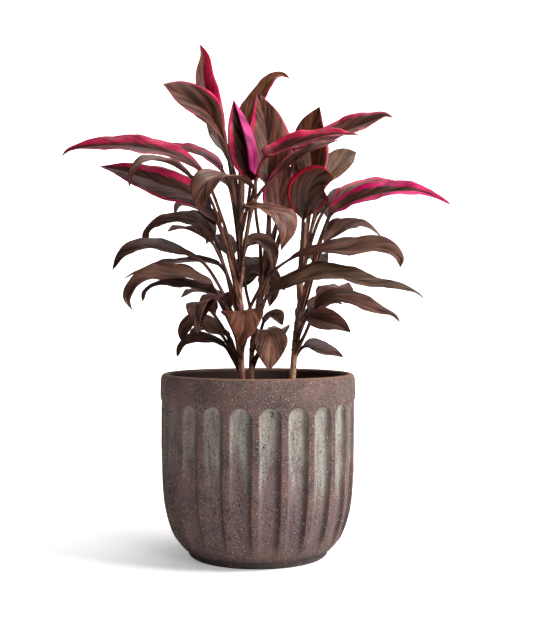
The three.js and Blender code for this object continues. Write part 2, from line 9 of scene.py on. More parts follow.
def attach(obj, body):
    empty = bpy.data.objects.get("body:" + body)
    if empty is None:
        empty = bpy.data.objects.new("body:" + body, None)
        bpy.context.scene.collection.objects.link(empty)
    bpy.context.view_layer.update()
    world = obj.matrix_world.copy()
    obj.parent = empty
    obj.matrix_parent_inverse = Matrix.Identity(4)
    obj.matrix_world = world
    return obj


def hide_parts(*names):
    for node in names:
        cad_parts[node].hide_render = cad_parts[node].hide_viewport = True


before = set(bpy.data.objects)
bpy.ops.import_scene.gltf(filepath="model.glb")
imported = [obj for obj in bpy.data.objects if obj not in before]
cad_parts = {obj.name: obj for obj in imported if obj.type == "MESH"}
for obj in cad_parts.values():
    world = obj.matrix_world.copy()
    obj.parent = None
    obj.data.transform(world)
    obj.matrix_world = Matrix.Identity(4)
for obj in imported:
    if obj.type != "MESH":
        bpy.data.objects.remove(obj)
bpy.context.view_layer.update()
scene = bpy.context.scene

# Camera: level with the middle of the plant and 1.85 m in front of the pot's axis, a little to the right
# of it. At that distance the picture's 618 rows cover 1.08 m.
VIEWPOINT = Vector((0.015, -1.85, 0.427))
SHOWN_HEIGHT = 1.0815
SENSOR = 36
camera_data = bpy.data.cameras.new("camera")
camera_data.sensor_width = SENSOR
camera_data.lens = SENSOR * -VIEWPOINT.y / SHOWN_HEIGHT
camera = bpy.data.objects.new("camera", camera_data)
camera.location = VIEWPOINT
camera.rotation_euler = (math.radians(90), 0, 0)
scene.collection.objects.link(camera)
scene.camera = camera


# Stage: a white paper sweep that lies on the floor and rises in a wide curve behind, where it glows as a
# painted backlight. The key lamp is soft and stands on the right, with a weak one in front and one above.
def linear(code):
    """An sRGB hex colour as the linear colour that a shader takes."""
    parts = [int(code[i:i + 2], 16) / 255 for i in (1, 3, 5)]
    return [*(c / 12.92 if c <= 0.04045 else ((c + 0.055) / 1.055) ** 2.4 for c in parts), 1]


def node(tree, kind, inputs={}, **settings):
    """A shader node with its settings; inputs holds a value or another node's output by socket."""
    made = tree.nodes.new("ShaderNode" + kind)
    for name, value in settings.items():
        setattr(made, name, value)
    for socket, value in inputs.items():
        if isinstance(value, bpy.types.NodeSocket):
            tree.links.new(value, made.inputs[socket])
        else:
            made.inputs[socket].default_value = value
    return made


def calculated(tree, operation, *values):
    """The result of one step of arithmetic on values or outputs."""
    return node(tree, "Math", dict(enumerate(values)), operation=operation).outputs[0]


def mixed(tree, share, first, second, blend_type="MIX"):
    """Two colours, each a hex code or an output, mixed by the share of the second."""
    first, second = (linear(c) if isinstance(c, str) else c for c in (first, second))
    colours = {0: share, 6: first, 7: second}
    return node(tree, "Mix", colours, data_type="RGBA", blend_type=blend_type).outputs[2]


def remapped(tree, value, low, high, start=0, end=1, smooth=False):
    """A value from low to high turned into one from start to end, and held beyond them."""
    ends = {"Value": value, "From Min": low, "From Max": high, "To Min": start, "To Max": end}
    kind = "SMOOTHSTEP" if smooth else "LINEAR"
    return node(tree, "MapRange", ends, interpolation_type=kind).outputs[0]


def noisy(tree, place, size, detail, roughness=0.5):
    """Cloudy noise from 0 to 1, in patches of about the given size."""
    inputs = {"Vector": place, "Scale": 1 / size, "Detail": detail, "Roughness": roughness}
    return node(tree, "TexNoise", inputs).outputs["Fac"]


def scaled(tree, place, scale):
    """Places multiplied by a scale on each axis; a scale under 1 stretches the pattern."""
    return node(tree, "Mapping", {"Vector": place, "Scale": scale}).outputs["Vector"]


def ramped(tree, value, low, dark, high, light):
    """A colour that goes from dark at the low value to light at the high one."""
    made = node(tree, "ValToRGB", {"Fac": value})
    for stop, position, code in zip(made.color_ramp.elements, (low, high), (dark, light)):
        stop.position = position
        stop.color = linear(code)
    return made.outputs["Color"]


def coat(tree, surface, colour, roughness, relief, strength, depth, shine=0.5):
    """A rough skin with bumps of the given depth, which ends a material."""
    bump = node(tree, "Bump", {"Height": relief, "Strength": strength, "Distance": depth}).outputs["Normal"]
    shader = node(tree, "BsdfPrincipled", {
        "Base Color": colour, "Roughness": roughness, "Specular IOR Level": shine, "Normal": bump})
    tree.links.new(shader.outputs["BSDF"], surface)


def new_material(name):
    """A material without a shader: itself, its node tree, its surface socket and the place of each point."""
    made = bpy.data.materials.new(name)
    made.use_nodes = True
    tree = made.node_tree
    tree.nodes.clear()
    output = tree.nodes.new("ShaderNodeOutputMaterial")
    place = node(tree, "TexCoord").outputs["Object"]
    return made, tree, output.inputs["Surface"], place


def deselect():
    if bpy.context.mode != "OBJECT":
        bpy.ops.object.mode_set(mode="OBJECT")
    bpy.ops.object.select_all(action="DESELECT")


PAPER = "#fbfafa"
SWEEP_WIDTH = 9
SWEEP_FRONT = 3.5
SWEEP_BACK = 2.2
SWEEP_RISE = 1.6
GLOW_RISE = (0.6, 2.4)
GLOW = 0.9
SHADOW_LIFT = 0.3
paper, tree, surface, place = new_material("matt_paper")
# Painted light: the paper glows more strongly towards the back as a painted backlight, and the camera alone
# sees all of it a little brighter, a painted lift of the shadows cast on it.
behind = node(tree, "SeparateXYZ", {"Vector": place}).outputs["Y"]
glow = remapped(tree, behind, *GLOW_RISE, 0, GLOW)
lifted = calculated(tree, "MULTIPLY", node(tree, "LightPath").outputs["Is Camera Ray"], SHADOW_LIFT)
glow = calculated(tree, "ADD", glow, lifted)
shader = node(tree, "BsdfPrincipled", {
    "Base Color": linear(PAPER), "Roughness": 0.95, "Specular IOR Level": 0.1,
    "Emission Color": linear(PAPER), "Emission Strength": glow})
tree.links.new(shader.outputs["BSDF"], surface)

deselect()
bpy.ops.mesh.primitive_grid_add(x_subdivisions=2, y_subdivisions=60, size=SWEEP_WIDTH)
sweep = bpy.context.object
sweep.name = "paper_sweep"
for vertex in sweep.data.vertices:
    along = vertex.co.y + SWEEP_WIDTH / 2 - SWEEP_FRONT
    bend = min(max(along - SWEEP_BACK, 0) / SWEEP_RISE, math.pi / 2)
    rest = max(along - SWEEP_BACK - SWEEP_RISE * math.pi / 2, 0)
    vertex.co.y = min(along, SWEEP_BACK) + SWEEP_RISE * math.sin(bend)
    vertex.co.z = SWEEP_RISE * (1 - math.cos(bend)) + rest
sweep.data.materials.append(paper)
bpy.ops.object.shade_smooth()

# Each lamp is a place, a size and a power.
AIM = Vector((0, 0, 0.45))
ROOM_LIGHT = 0.15
LAMPS = {
    "lamp_right": ((2.3, -0.8, 1.9), 1.2, 128),
    "lamp_front": ((1.2, -2.4, 1.6), 0.8, 16),
    "lamp_top": ((0.2, 0.2, 2.6), 1.0, 42),
}
for name, (place, size, power) in LAMPS.items():
    lamp_data = bpy.data.lights.new(name, "AREA")
    lamp_data.size = size
    lamp_data.energy = power
    lamp = bpy.data.objects.new(name, lamp_data)
    lamp.location = place
    lamp.rotation_euler = (AIM - Vector(place)).to_track_quat("-Z", "Y").to_euler()
    scene.collection.objects.link(lamp)
world = bpy.data.worlds.new("room")
world.use_nodes = True
background = world.node_tree.nodes["Background"]
background.inputs["Color"].default_value = (1, 1, 1, 1)
background.inputs["Strength"].default_value = ROOM_LIGHT
scene.world = world
scene.view_settings.view_transform = "Standard"

# Pot: one fired-clay planter, 340 mm across a plain collar, with 22 scooped flutes below it that run out
# on the rounded foot. The coarse mauve-brown clay is left bare, brushed with a thin lime wash.
MM = 0.001
POT_HEIGHT = 315
COLLAR_RADIUS = 170
BODY_RADIUS = 168
FOOT_RADIUS = 120
WALL = 13
FLOOR = 16
FLUTES = 22
FLUTE_TURN = 7.2
FLUTE_DEPTH = 7.5
FLUTE_SHARE = 0.77
FLUTE_FULL = 0.92
FLUTE_ARCH = (250, 269)
FLUTE_FADE = (12, 60)
COLUMNS = 38
# A ridge's edge: how soft it is, where it fades in going up, and its strength on the side away from the lee.
EDGE_SOFT = 0.09
EDGE_FADE = (40, 90)
EDGE_WEAK = 0.3
EDGE_CHIP, EDGE_CHIP_SIZE = 0.5, 5
# Where painted shade darkens the lee side of each flute: across the flute, and in from its border.
LEE_ACROSS = (0.3, 0.8)
LEE_INSIDE = (0.02, 0.12)
# The unevenness of the clay, as heights and the sizes of their swells.
CLAY_SWELLS = ((0.5, 34), (0.28, 7))
HOLLOW_RADIUS = BODY_RADIUS - WALL
HOLLOW_BEND = 115
HOLLOW_TAPER = 0.12
HOLLOW_FROM = 35
UNDERSIDE_RADIUS = FOOT_RADIUS - 4
RIM_HEIGHT = 4
# The wall from the foot up, over the rim and down inside, each row a height and a radius. The rows stand
# close together where the flutes' arches end.
PROFILE = [
    (0, FOOT_RADIUS - 3), (1.5, FOOT_RADIUS - 1), (3, FOOT_RADIUS + 0.5), (7, FOOT_RADIUS + 1.5),
    (10.5, FOOT_RADIUS + 2), (11.6, 122.4), (12.4, 124.5), (13, 126.5), (15, 130), (19, 134), (26, 139.8),
    (33, 145), (43, 149.8), (54, 154), (67, 158), (80, 161), (95, 163.5), (112, 165.4), (130, 166.6),
    (148, 167.2), (165, 167.5), (180, 167.7), (195, 167.8), (210, 167.9),
    *((z, BODY_RADIUS) for z in (222, 236, 246, 250, 252, 254, 256, 258, 259.5, 261, 262.5, 264)),
    *((z, BODY_RADIUS) for z in (265.2, 266.3, 267.3, 268.2)),
    (269, 168.1), (270, 168.6), (271.5, 169.2), (274, 169.8), (280, COLLAR_RADIUS), (291, COLLAR_RADIUS),
    (302, COLLAR_RADIUS - 0.2), (308, COLLAR_RADIUS - 0.9), (311.5, COLLAR_RADIUS - 2),
    (314, COLLAR_RADIUS - 4.2), (POT_HEIGHT, COLLAR_RADIUS - 7), (314.8, 158.6), (313, 156.6), (309, 155.4),
    *((z, HOLLOW_RADIUS) for z in (300, 270, 200, HOLLOW_BEND)), (70, 147), (36, 133), (FLOOR, 107),
]


def smooth_step(value, low, high):
    share = min(max((value - low) / (high - low), 0), 1)
    return share * share * (3 - 2 * share)


def flute(x, y, z):
    """How deep a point of the outer wall is scooped out, how close it is to a ridge's edge and how far it
    lies on the lee side."""
    pitch = 360 / FLUTES
    turn = (math.degrees(math.atan2(y, x)) + 90 - FLUTE_TURN) / pitch
    across = (turn - round(turn)) / (0.5 * FLUTE_SHARE)
    arch = max(0, (z - FLUTE_ARCH[0]) / (FLUTE_ARCH[1] - FLUTE_ARCH[0]))
    fade = smooth_step(z, *FLUTE_FADE)
    inside = 1 - across ** 2 - arch ** 2
    side = 1 if across > 0 else EDGE_WEAK
    edge = math.exp(-(inside / EDGE_SOFT) ** 2) * smooth_step(z, *EDGE_FADE) * (z < FLUTE_ARCH[1]) * side
    lee = smooth_step(across, *LEE_ACROSS) * smooth_step(inside, *LEE_INSIDE) * fade
    return FLUTE_FULL * (1 - (1 - max(0, inside)) ** 2) * fade, edge, lee


def swell(spot, waves):
    """The height of uneven ground at a spot, from waves given as heights and sizes."""
    return sum(rise * noise.noise(spot / size) for rise, size in waves)


def lathe(name, sides, rows, turn=0):
    """A solid of rings, one for each row's height and radius, closed at the first and the last."""
    (height, radius), *others = rows
    deselect()
    bpy.ops.mesh.primitive_circle_add(
        vertices=sides, radius=radius * MM, fill_type="NGON",
        location=(0, 0, height * MM), rotation=(0, 0, turn))
    made = bpy.context.object
    made.name = name
    bpy.ops.object.transform_apply()
    bpy.ops.object.mode_set(mode="EDIT")
    for next_height, next_radius in others:
        rise = (0, 0, (next_height - height) * MM)
        bpy.ops.mesh.extrude_region_move(TRANSFORM_OT_translate={"value": rise})
        bpy.ops.transform.resize(value=(next_radius / radius, next_radius / radius, 1))
        height, radius = next_height, next_radius
    bpy.ops.mesh.select_all(action="SELECT")
    bpy.ops.mesh.normals_make_consistent(inside=False)
    bpy.ops.object.mode_set(mode="OBJECT")
    return made


pot = lathe("pot_clay", FLUTES * COLUMNS, PROFILE, math.radians(FLUTE_TURN - 180))
for name in ("flute", "edge", "inner", "lee"):
    pot.data.attributes.new(name, "FLOAT", "POINT")
scooped, worn, inside_shade, lee_shade_layer = (pot.data.attributes[name] for name in ("flute", "edge", "inner", "lee"))
for vertex in pot.data.vertices:
    x, y, z = vertex.co / MM
    spot = Vector((x, y, z))
    radius = math.hypot(x, y)
    hollow = HOLLOW_RADIUS + 0.5 - max(0, HOLLOW_BEND - z) * HOLLOW_TAPER
    inner = HOLLOW_FROM < z < POT_HEIGHT and radius < hollow or radius < UNDERSIDE_RADIUS
    depth, edge, lee = (0, 0, 0) if inner else flute(x, y, z)
    if 1 < z and radius > 100:
        chipped = EDGE_CHIP * edge * abs(noise.noise(spot / EDGE_CHIP_SIZE))
        scale = 1 - (FLUTE_DEPTH * depth - swell(spot, CLAY_SWELLS) + chipped) / radius
        vertex.co.x *= scale
        vertex.co.y *= scale
    scooped.data[vertex.index].value = depth
    worn.data[vertex.index].value = edge
    lee_shade_layer.data[vertex.index].value = lee
    inside_shade.data[vertex.index].value = float(inner and z < POT_HEIGHT - RIM_HEIGHT)
bpy.ops.object.shade_smooth()

CLAY_DARK = "#42312f"
CLAY = "#5f4946"
CLAY_RED = "#694640"
CLAY_INSIDE_SHADE = "#3a2c27"
FOOT_SHADE = "#46413e"
WASH = "#a3a197"
WASH_THIN = "#76666a"
TAN = "#c4884e"
GRAIN_PALE = "#82726b"
SPECK = "#cfc4bb"
PIT_SHADE = "#241a18"
GRIT_SPACING = 0.0036
PIT_SPACING = 0.0048
clay, tree, surface, place = new_material("lime_washed_clay")
groove, edge, inside_shade, lee = (
    node(tree, "Attribute", attribute_name=name).outputs["Fac"] for name in ("flute", "edge", "inner", "lee"))
parts = node(tree, "SeparateXYZ", {"Vector": place})
height = parts.outputs["Z"]
cloud = noisy(tree, place, 0.045, 5, 0.6)
fine = noisy(tree, place, 0.0022, 4, 0.75)
base = ramped(tree, cloud, 0.36, CLAY_DARK, 0.6, CLAY)
redness = remapped(tree, cloud, 0.46, 0.62, 0, 0.5)
tone = mixed(tree, redness, base, CLAY_RED)
grainy = remapped(tree, fine, 0.46, 0.6, 0, 0.7)
tone = mixed(tree, grainy, tone, GRAIN_PALE)
# The wash: thick and pale in the top third of each flute, thin and mauve further down, and painted fainter on
# the left as painted shade on the side away from the key lamp.
stretched = scaled(tree, place, (1, 1, 0.2))
streak = noisy(tree, stretched, 0.010, 5, 0.65)
column = scaled(tree, place, (1, 1, 0.02))
uneven = noisy(tree, column, 0.05, 1)
lowest = calculated(tree, "MULTIPLY_ADD", uneven, -0.26, 0.27)
reached = calculated(tree, "SUBTRACT", height, lowest)
ragged = calculated(tree, "MULTIPLY_ADD", streak, 0.09, reached)
thick = remapped(tree, ragged, 0.02, 0.105, smooth=True)
brushed = calculated(tree, "MULTIPLY_ADD", streak, 0.5, groove)
held = remapped(tree, brushed, 0.30, 0.66, smooth=True)
low = remapped(tree, height, 0.03, 0.12, 0.25, 0.7)
thin = remapped(tree, streak, 0.36, 0.58, 0.35, 1)
wiped = remapped(tree, fine, 0.38, 0.6, 0.3, 1)
colour = mixed(tree, thick, WASH_THIN, WASH)
full = calculated(tree, "MAXIMUM", thick, low)
# Painted shade: the wash and the tan lines are weaker on the pot's left, away from the key lamp.
left_shade = remapped(tree, parts.outputs["X"], -0.15, -0.03, 0.4, 1)
wash = held
for layer in (full, thin, wiped, left_shade):
    wash = calculated(tree, "MULTIPLY", wash, layer)
tone = mixed(tree, wash, tone, colour)
# Painted shade on the lee wall of each flute, in broken patches.
jagged = remapped(tree, fine, 0.35, 0.6, 0.3, 0.8)
lee_shade = calculated(tree, "MULTIPLY", lee, jagged)
tone = mixed(tree, lee_shade, tone, PIT_SHADE)
# Thin broken tan lines where the ridges' edges are rubbed bare, weaker on the left as painted shade; a thin
# tan band along the top of the rim as a painted highlight; and the foot painted grey as painted shade near
# the floor.
broken = remapped(tree, streak, 0.46, 0.56)
line = remapped(tree, edge, 0.45, 0.85, 0, 0.95)
lower = remapped(tree, height, 0.22, 0.16, 0.2, 1)
for layer in (broken, lower, left_shade):
    line = calculated(tree, "MULTIPLY", line, layer)
tone = mixed(tree, line, tone, TAN)
# Painted highlight along the top of the rim.
rim_highlight = remapped(tree, height, 0.312, 0.3145, 0, 0.22)
tone = mixed(tree, rim_highlight, tone, TAN)
# Painted shade: the foot darkens to grey near the floor.
foot = remapped(tree, height, 0.024, 0.010, 0, 0.75)
tone = mixed(tree, foot, tone, FOOT_SHADE)
# Pale specks of grit up to 2 mm wide, and upright pits up to 2.5 mm by 4.5 mm, most of them in the flutes,
# painted dark as painted shade in their hollows.
grit = node(tree, "TexVoronoi", {"Vector": place, "Scale": 1 / GRIT_SPACING}, feature="F1")
chance = node(tree, "SeparateColor", {"Color": grit.outputs["Color"]})
some = remapped(tree, chance.outputs["Red"], 0.7, 1.0, 0, 0.85)
dot = remapped(tree, grit.outputs["Distance"], 0.28, 0.14)
speck = calculated(tree, "MULTIPLY", some, dot)
tone = mixed(tree, speck, tone, SPECK)
upright = scaled(tree, place, (1, 1, 0.55))
wander = node(tree, "TexNoise", {"Vector": place, "Scale": 300}).outputs["Color"]
bent = node(tree, "Mix", {0: 0.006, 4: upright, 5: wander}, data_type="VECTOR").outputs[1]
holes = node(tree, "TexVoronoi", {"Vector": bent, "Scale": 1 / PIT_SPACING}, feature="F1")
chance = node(tree, "SeparateColor", {"Color": holes.outputs["Color"]})
share = remapped(tree, groove, 0, 1, 0.12, 0.55)
there = calculated(tree, "LESS_THAN", chance.outputs["Green"], share)
hole = remapped(tree, holes.outputs["Distance"], 0.26, 0.12)
pit = calculated(tree, "MULTIPLY", there, hole)
tone = mixed(tree, pit, tone, PIT_SHADE)
# Painted shade: the inside of the wall below the rim is painted darker.
tone = mixed(tree, inside_shade, tone, CLAY_INSIDE_SHADE)
relief = calculated(tree, "SUBTRACT", fine, pit)
coat(tree, surface, tone, roughness=0.93, relief=relief, strength=0.9, depth=0.0016, shine=0.25)
pot.data.materials.append(clay)
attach(pot, "root")
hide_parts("pot")

# Potting soil: dark damp peat with coarse fibre, filled to 22 mm below the rim and pressed down by
# watering into low hummocks, with bark chips strewn over it.
FILLED_TO = 22
GAP = 0.3
SOIL_TOP = POT_HEIGHT - FILLED_TO
SOIL_MEAN = SOIL_TOP - 2
SOIL_RADIUS = BODY_RADIUS - WALL - GAP
SOIL_SIDES = 160
SOIL_RINGS = 46
HUMMOCKS = ((2.4, 42),)
CRUMBS = ((1.5, 6), (1.0, 2.6))
FIBRE_SPACING = 0.003
soil_rows = [
    (FLOOR + GAP, FOOT_RADIUS - WALL - GAP), (36, SOIL_RADIUS - 22), (70, SOIL_RADIUS - 8),
    (HOLLOW_BEND, SOIL_RADIUS), (SOIL_TOP - 5, SOIL_RADIUS)]
soil_rows += [(SOIL_MEAN, SOIL_RADIUS * (1 - k / (SOIL_RINGS + 1))) for k in range(SOIL_RINGS + 1)]
soil = lathe("potting_soil_peat", SOIL_SIDES, soil_rows)


def soil_swell(x, y):
    """Height of the soil's hummocks and crumbs over its mean level, in mm."""
    spot = Vector((x, y, 0))
    return swell(spot, HUMMOCKS) + swell(spot, CRUMBS)


for vertex in soil.data.vertices:
    if vertex.co.z > (SOIL_MEAN - 2) * MM:
        vertex.co.z += soil_swell(*(vertex.co.xy / MM)) * MM
bpy.ops.object.shade_smooth()

peat, tree, surface, place = new_material("damp_peat")
clods = noisy(tree, place, 0.009, 6, 0.7)
fibre = node(tree, "TexVoronoi", {"Vector": place, "Scale": 1 / FIBRE_SPACING}, feature="F1")
crumbs = ramped(tree, clods, 0.35, "#17110e", 0.68, "#453329")
chance = node(tree, "SeparateColor", {"Color": fibre.outputs["Color"]}).outputs["Red"]
rare = calculated(tree, "GREATER_THAN", chance, 0.93)
flecked = mixed(tree, rare, crumbs, "#8a6a4c")
rough = calculated(tree, "ADD", clods, fibre.outputs["Distance"])
coat(tree, surface, flecked, roughness=0.95, relief=rough, strength=0.9, depth=0.0025, shine=0.2)
soil.data.materials.append(peat)
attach(soil, "root")
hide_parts("potting_soil")

# Bark chips: split pine bark, 4 to 13 mm long, lying loose on the peat.
CHIPS = 320
CHIP_MARGIN = 9
CHIP_HALF_LENGTH = (2, 6.5)
CHIP_WIDTH = (0.45, 0.8)
CHIP_THICKNESS = (0.18, 0.4)
CHIP_TILT = 0.35
CHIP_ROUGHNESS = (0.75, 1.1)


def turned(a, b, angle):
    return a * math.cos(angle) - b * math.sin(angle), a * math.sin(angle) + b * math.cos(angle)


draw = random.Random(11)
deselect()
bpy.ops.mesh.primitive_cube_add(size=2)
bpy.ops.object.mode_set(mode="EDIT")
bpy.ops.mesh.subdivide(number_cuts=1, smoothness=0.7)
bpy.ops.object.mode_set(mode="OBJECT")
chip = bpy.context.object
chip_points = [v.co.copy() for v in chip.data.vertices]
chip_faces = [tuple(p.vertices) for p in chip.data.polygons]
bpy.data.objects.remove(chip)
points, faces = [], []
for number in range(CHIPS):
    reach = (SOIL_RADIUS - CHIP_MARGIN) * math.sqrt(draw.random())
    turn = draw.uniform(0, 2 * math.pi)
    x, y = reach * math.cos(turn), reach * math.sin(turn)
    length = draw.uniform(*CHIP_HALF_LENGTH)
    half = Vector((length, length * draw.uniform(*CHIP_WIDTH), length * draw.uniform(*CHIP_THICKNESS)))
    spin = draw.uniform(0, 2 * math.pi)
    tilt = draw.uniform(-CHIP_TILT, CHIP_TILT)
    first = len(points)
    for point in chip_points:
        p = Vector([a * b * draw.uniform(*CHIP_ROUGHNESS) for a, b in zip(point, half)])
        p.x, p.z = turned(p.x, p.z, tilt)
        p.x, p.y = turned(p.x, p.y, spin)
        points.append((p + Vector((x, y, SOIL_MEAN + soil_swell(x, y) + half.z * 0.5))) * MM)
    faces += [tuple(first + i for i in face) for face in chip_faces]
chip_mesh = bpy.data.meshes.new("bark_chips")
chip_mesh.from_pydata(points, [], faces)
chips = bpy.data.objects.new("bark_chips", chip_mesh)
scene.collection.objects.link(chips)

bark, tree, surface, place = new_material("pine_bark")
split = noisy(tree, place, 0.012, 2)
grain = noisy(tree, place, 0.0015, 4)
browns = ramped(tree, split, 0.38, "#38251b", 0.66, "#a0683f")
coat(tree, surface, browns, roughness=0.85, relief=grain, strength=0.6, depth=0.0008)
chips.data.materials.append(bark)
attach(chips, "root")
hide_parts("potting_soil")

# Canes: three slender stems, 8 to 13 mm thick, ringed by the scars of shed leaves low down and wrapped
# higher up in the dry clasping bases of their leaves. They stand 80 mm deep in the soil.
# Each cane is its radii at the foot and the top, and its points.
CANE_DEPTH = 80
CANE_COLUMNS, CANE_ROWS = 28, 190
CANE_END = 3
LINE_STEPS = 480
LINE_REACH = 0.002
CANES = {
    "left": ((6.5, 4), [
        (-28, 308, -12), (-30, 360, -11), (-30, 425, -9), (-33, 452, -8), (-30, 500, -6), (-31, 583, -3),
        (-30, 661, 0), (-30, 684, 0)]),
    "middle": ((5, 4), [
        (-12, 308, 22), (-10, 360, 24), (-4, 405, 27), (4, 455, 32), (12, 510, 36), (15, 545, 37)]),
    "right": ((6, 4.5), [
        (60, 308, 5), (64, 350, 5), (69, 400, 5), (74, 434, 4), (73, 465, 4), (77, 520, 4), (82, 580, 3)]),
}


def seen(point):
    """A point written as [x, z, depth] from the viewpoint, moved along its line of sight to its depth."""
    x, z, depth = point
    eye = VIEWPOINT / MM
    return eye + (Vector((x, 0, z)) - eye) * (1 - depth / eye.y)


class Line:
    """A smooth line through points, with places and directions by share of its length."""

    def __init__(self, points):
        self.points = [np.array(p) for p in points]
        self.turns = np.linspace(0, 1, LINE_STEPS + 1)
        self.places = np.array([self.at(t) for t in self.turns])
        pieces = np.linalg.norm(np.diff(self.places, axis=0), axis=1)
        self.lengths = np.concatenate([[0], np.cumsum(pieces)])
        self.length = self.lengths[-1]

    def at(self, t):
        p = self.points
        last = len(p) - 1
        k = min(int(t * last), last - 1)
        w = t * last - k
        before = p[k - 1] if k > 0 else 2 * p[0] - p[1]
        after = p[k + 2] if k + 2 <= last else 2 * p[last] - p[last - 1]
        spans = (p[k] - before, p[k + 1] - p[k], after - p[k + 1])
        a, b, c = (max(np.sqrt(np.linalg.norm(v)), 1e-4) for v in spans)
        leave = ((p[k] - before) / a - (p[k + 1] - before) / (a + b) + (p[k + 1] - p[k]) / b) * b
        arrive = ((p[k + 1] - p[k]) / b - (after - p[k]) / (b + c) + (after - p[k + 1]) / c) * b
        step = p[k + 1] - p[k]
        square = 3 * step - 2 * leave - arrive
        cube = leave + arrive - 2 * step
        return p[k] + leave * w + square * w ** 2 + cube * w ** 3

    def share(self, t):
        return np.interp(t, self.turns, self.lengths) / self.length

    def place(self, share):
        reached = np.asarray(share) * self.length
        return np.array([np.interp(reached, self.lengths, c) for c in self.places.T]).T

    def direction(self, share):
        after = self.place(np.minimum(np.asarray(share) + LINE_REACH, 1))
        before = self.place(np.maximum(np.asarray(share) - LINE_REACH, 0))
        ahead = after - before
        return ahead / np.linalg.norm(ahead, axis=-1, keepdims=True)


def cane_line(points):
    above = [seen(p) for p in points]
    foot, ground = above[0].copy(), above[0].copy()
    foot.z = SOIL_TOP - CANE_DEPTH
    ground.z = SOIL_TOP
    return Line([foot, ground, *above[1:]])


def wrapped(name, columns, rows):
    """A grid whose left and right sides are to meet, with each vertex's share round and share along."""
    deselect()
    bpy.ops.mesh.primitive_grid_add(x_subdivisions=columns, y_subdivisions=rows, size=1)
    made = bpy.context.object
    made.name = name
    made.data.name = name
    flat = np.zeros(len(made.data.vertices) * 3)
    made.data.vertices.foreach_get("co", flat)
    flat = flat.reshape(-1, 3)
    return made, flat[:, 0] + 0.5, flat[:, 1] + 0.5


def close_up(made, places):
    """Puts the grid's vertices in place, in metres, and joins those that meet."""
    made.data.vertices.foreach_set("co", (np.asarray(places) * MM).ravel())
    bpy.ops.object.mode_set(mode="EDIT")
    bpy.ops.mesh.select_all(action="SELECT")
    bpy.ops.mesh.remove_doubles(threshold=0.00002)
    bpy.ops.mesh.normals_make_consistent(inside=False)
    bpy.ops.object.mode_set(mode="OBJECT")
    bpy.ops.object.shade_smooth()
    made.data.update()


def paint(made, name, values):
    """Keeps a number or a colour at each vertex, for the material."""
    kind = "FLOAT" if values.ndim == 1 else "FLOAT_COLOR"
    layer = made.data.attributes.new(name, kind, "POINT")
    layer.data.foreach_set("value" if values.ndim == 1 else "color", values.astype(np.float32).ravel())


stem, tree, surface, place = new_material("ringed_cane_bark")
stretched = scaled(tree, place, (1, 1, 0.06))
fibres = noisy(tree, stretched, 0.0012, 4)
bands = noisy(tree, place, 0.016, 3)
tones = node(tree, "Attribute", attribute_name="tone")
shade = remapped(tree, fibres, 0.36, 0.6, 0.3, 1)
dark = mixed(tree, shade, "#3a221b", tones.outputs["Color"])
patchy = remapped(tree, bands, 0.54, 0.64, 0, 0.6)
mottled = mixed(tree, patchy, dark, "#5a362b")
coat(tree, surface, mottled, roughness=0.62, relief=fibres, strength=0.6, depth=0.0008)

# Height in mm and colour: pink flesh shows at the soil and where a sheath has split, and near the soil it is
# painted in pale bands that are partly painted highlight; dry papery sheaths above.
BARK = {
    "left": [
        (300, "#e25a60"), (316, "#ffa898"), (346, "#ffd0c0"), (358, "#6a3a30"), (424, "#5c3229"),
        (436, "#e58f86"), (458, "#eab7a5"), (470, "#6b4434"), (500, "#c9a184"), (560, "#b98f70"),
        (590, "#5d3a2e")],
    "middle": [(300, "#a8705c"), (322, "#d8a186"), (340, "#c79a7c"), (352, "#5f3a2e"), (545, "#7a5342")],
    "right": [
        (300, "#d98a5c"), (322, "#eec39c"), (340, "#d29468"), (356, "#6b4030"), (455, "#6f4a3b"),
        (475, "#b98a72"), (520, "#8a5f4c")],
}
# Leaf scars every 7 mm low down, and overlapping sheaths every 16 mm above.
SCAR_PITCH, SCAR_RISE = 7, 0.45
SHEATH_PITCH, SHEATH_RISE = 16, 1.1
SCARRED_LENGTH = CANE_DEPTH + 60
BAND_SWAY, BAND_LENGTH = 5, 9
LINES = {}
for name, (radii, points) in CANES.items():
    LINES[name] = cane_line(points)
    line = LINES[name]
    cane, round_share, along = wrapped(f"cane_{name}", CANE_COLUMNS, CANE_ROWS)
    turn = round_share * 2 * math.pi
    up_length = along * line.length
    low = np.abs(np.sin(up_length * math.pi / SCAR_PITCH)) ** 8 * SCAR_RISE
    high = ((up_length / SHEATH_PITCH + 0.25 * np.sin(turn)) % 1) * SHEATH_RISE
    ringed = np.where(up_length < SCARRED_LENGTH, low, high)
    radius = radii[0] + (radii[1] - radii[0]) * along + ringed
    capped = np.clip(np.minimum(along, 1 - along) * line.length / CANE_END, 0, 1)
    out = np.stack([np.cos(turn), np.sin(turn), 0 * turn], 1) * (radius * np.sqrt(capped))[:, None]
    levels = [level for level, code in BARK[name]]
    shades = np.array([linear(code) for level, code in BARK[name]])
    at = line.place(along)[:, 2] + BAND_SWAY * np.sin(2 * turn + up_length / BAND_LENGTH)
    paint(cane, "tone", np.stack([np.interp(at, levels, shades[:, k]) for k in range(4)], 1))
    close_up(cane, line.place(along) + out)
    cane.data.materials.append(stem)
    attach(cane, "root")
    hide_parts(f"leafy_cane_{name}")

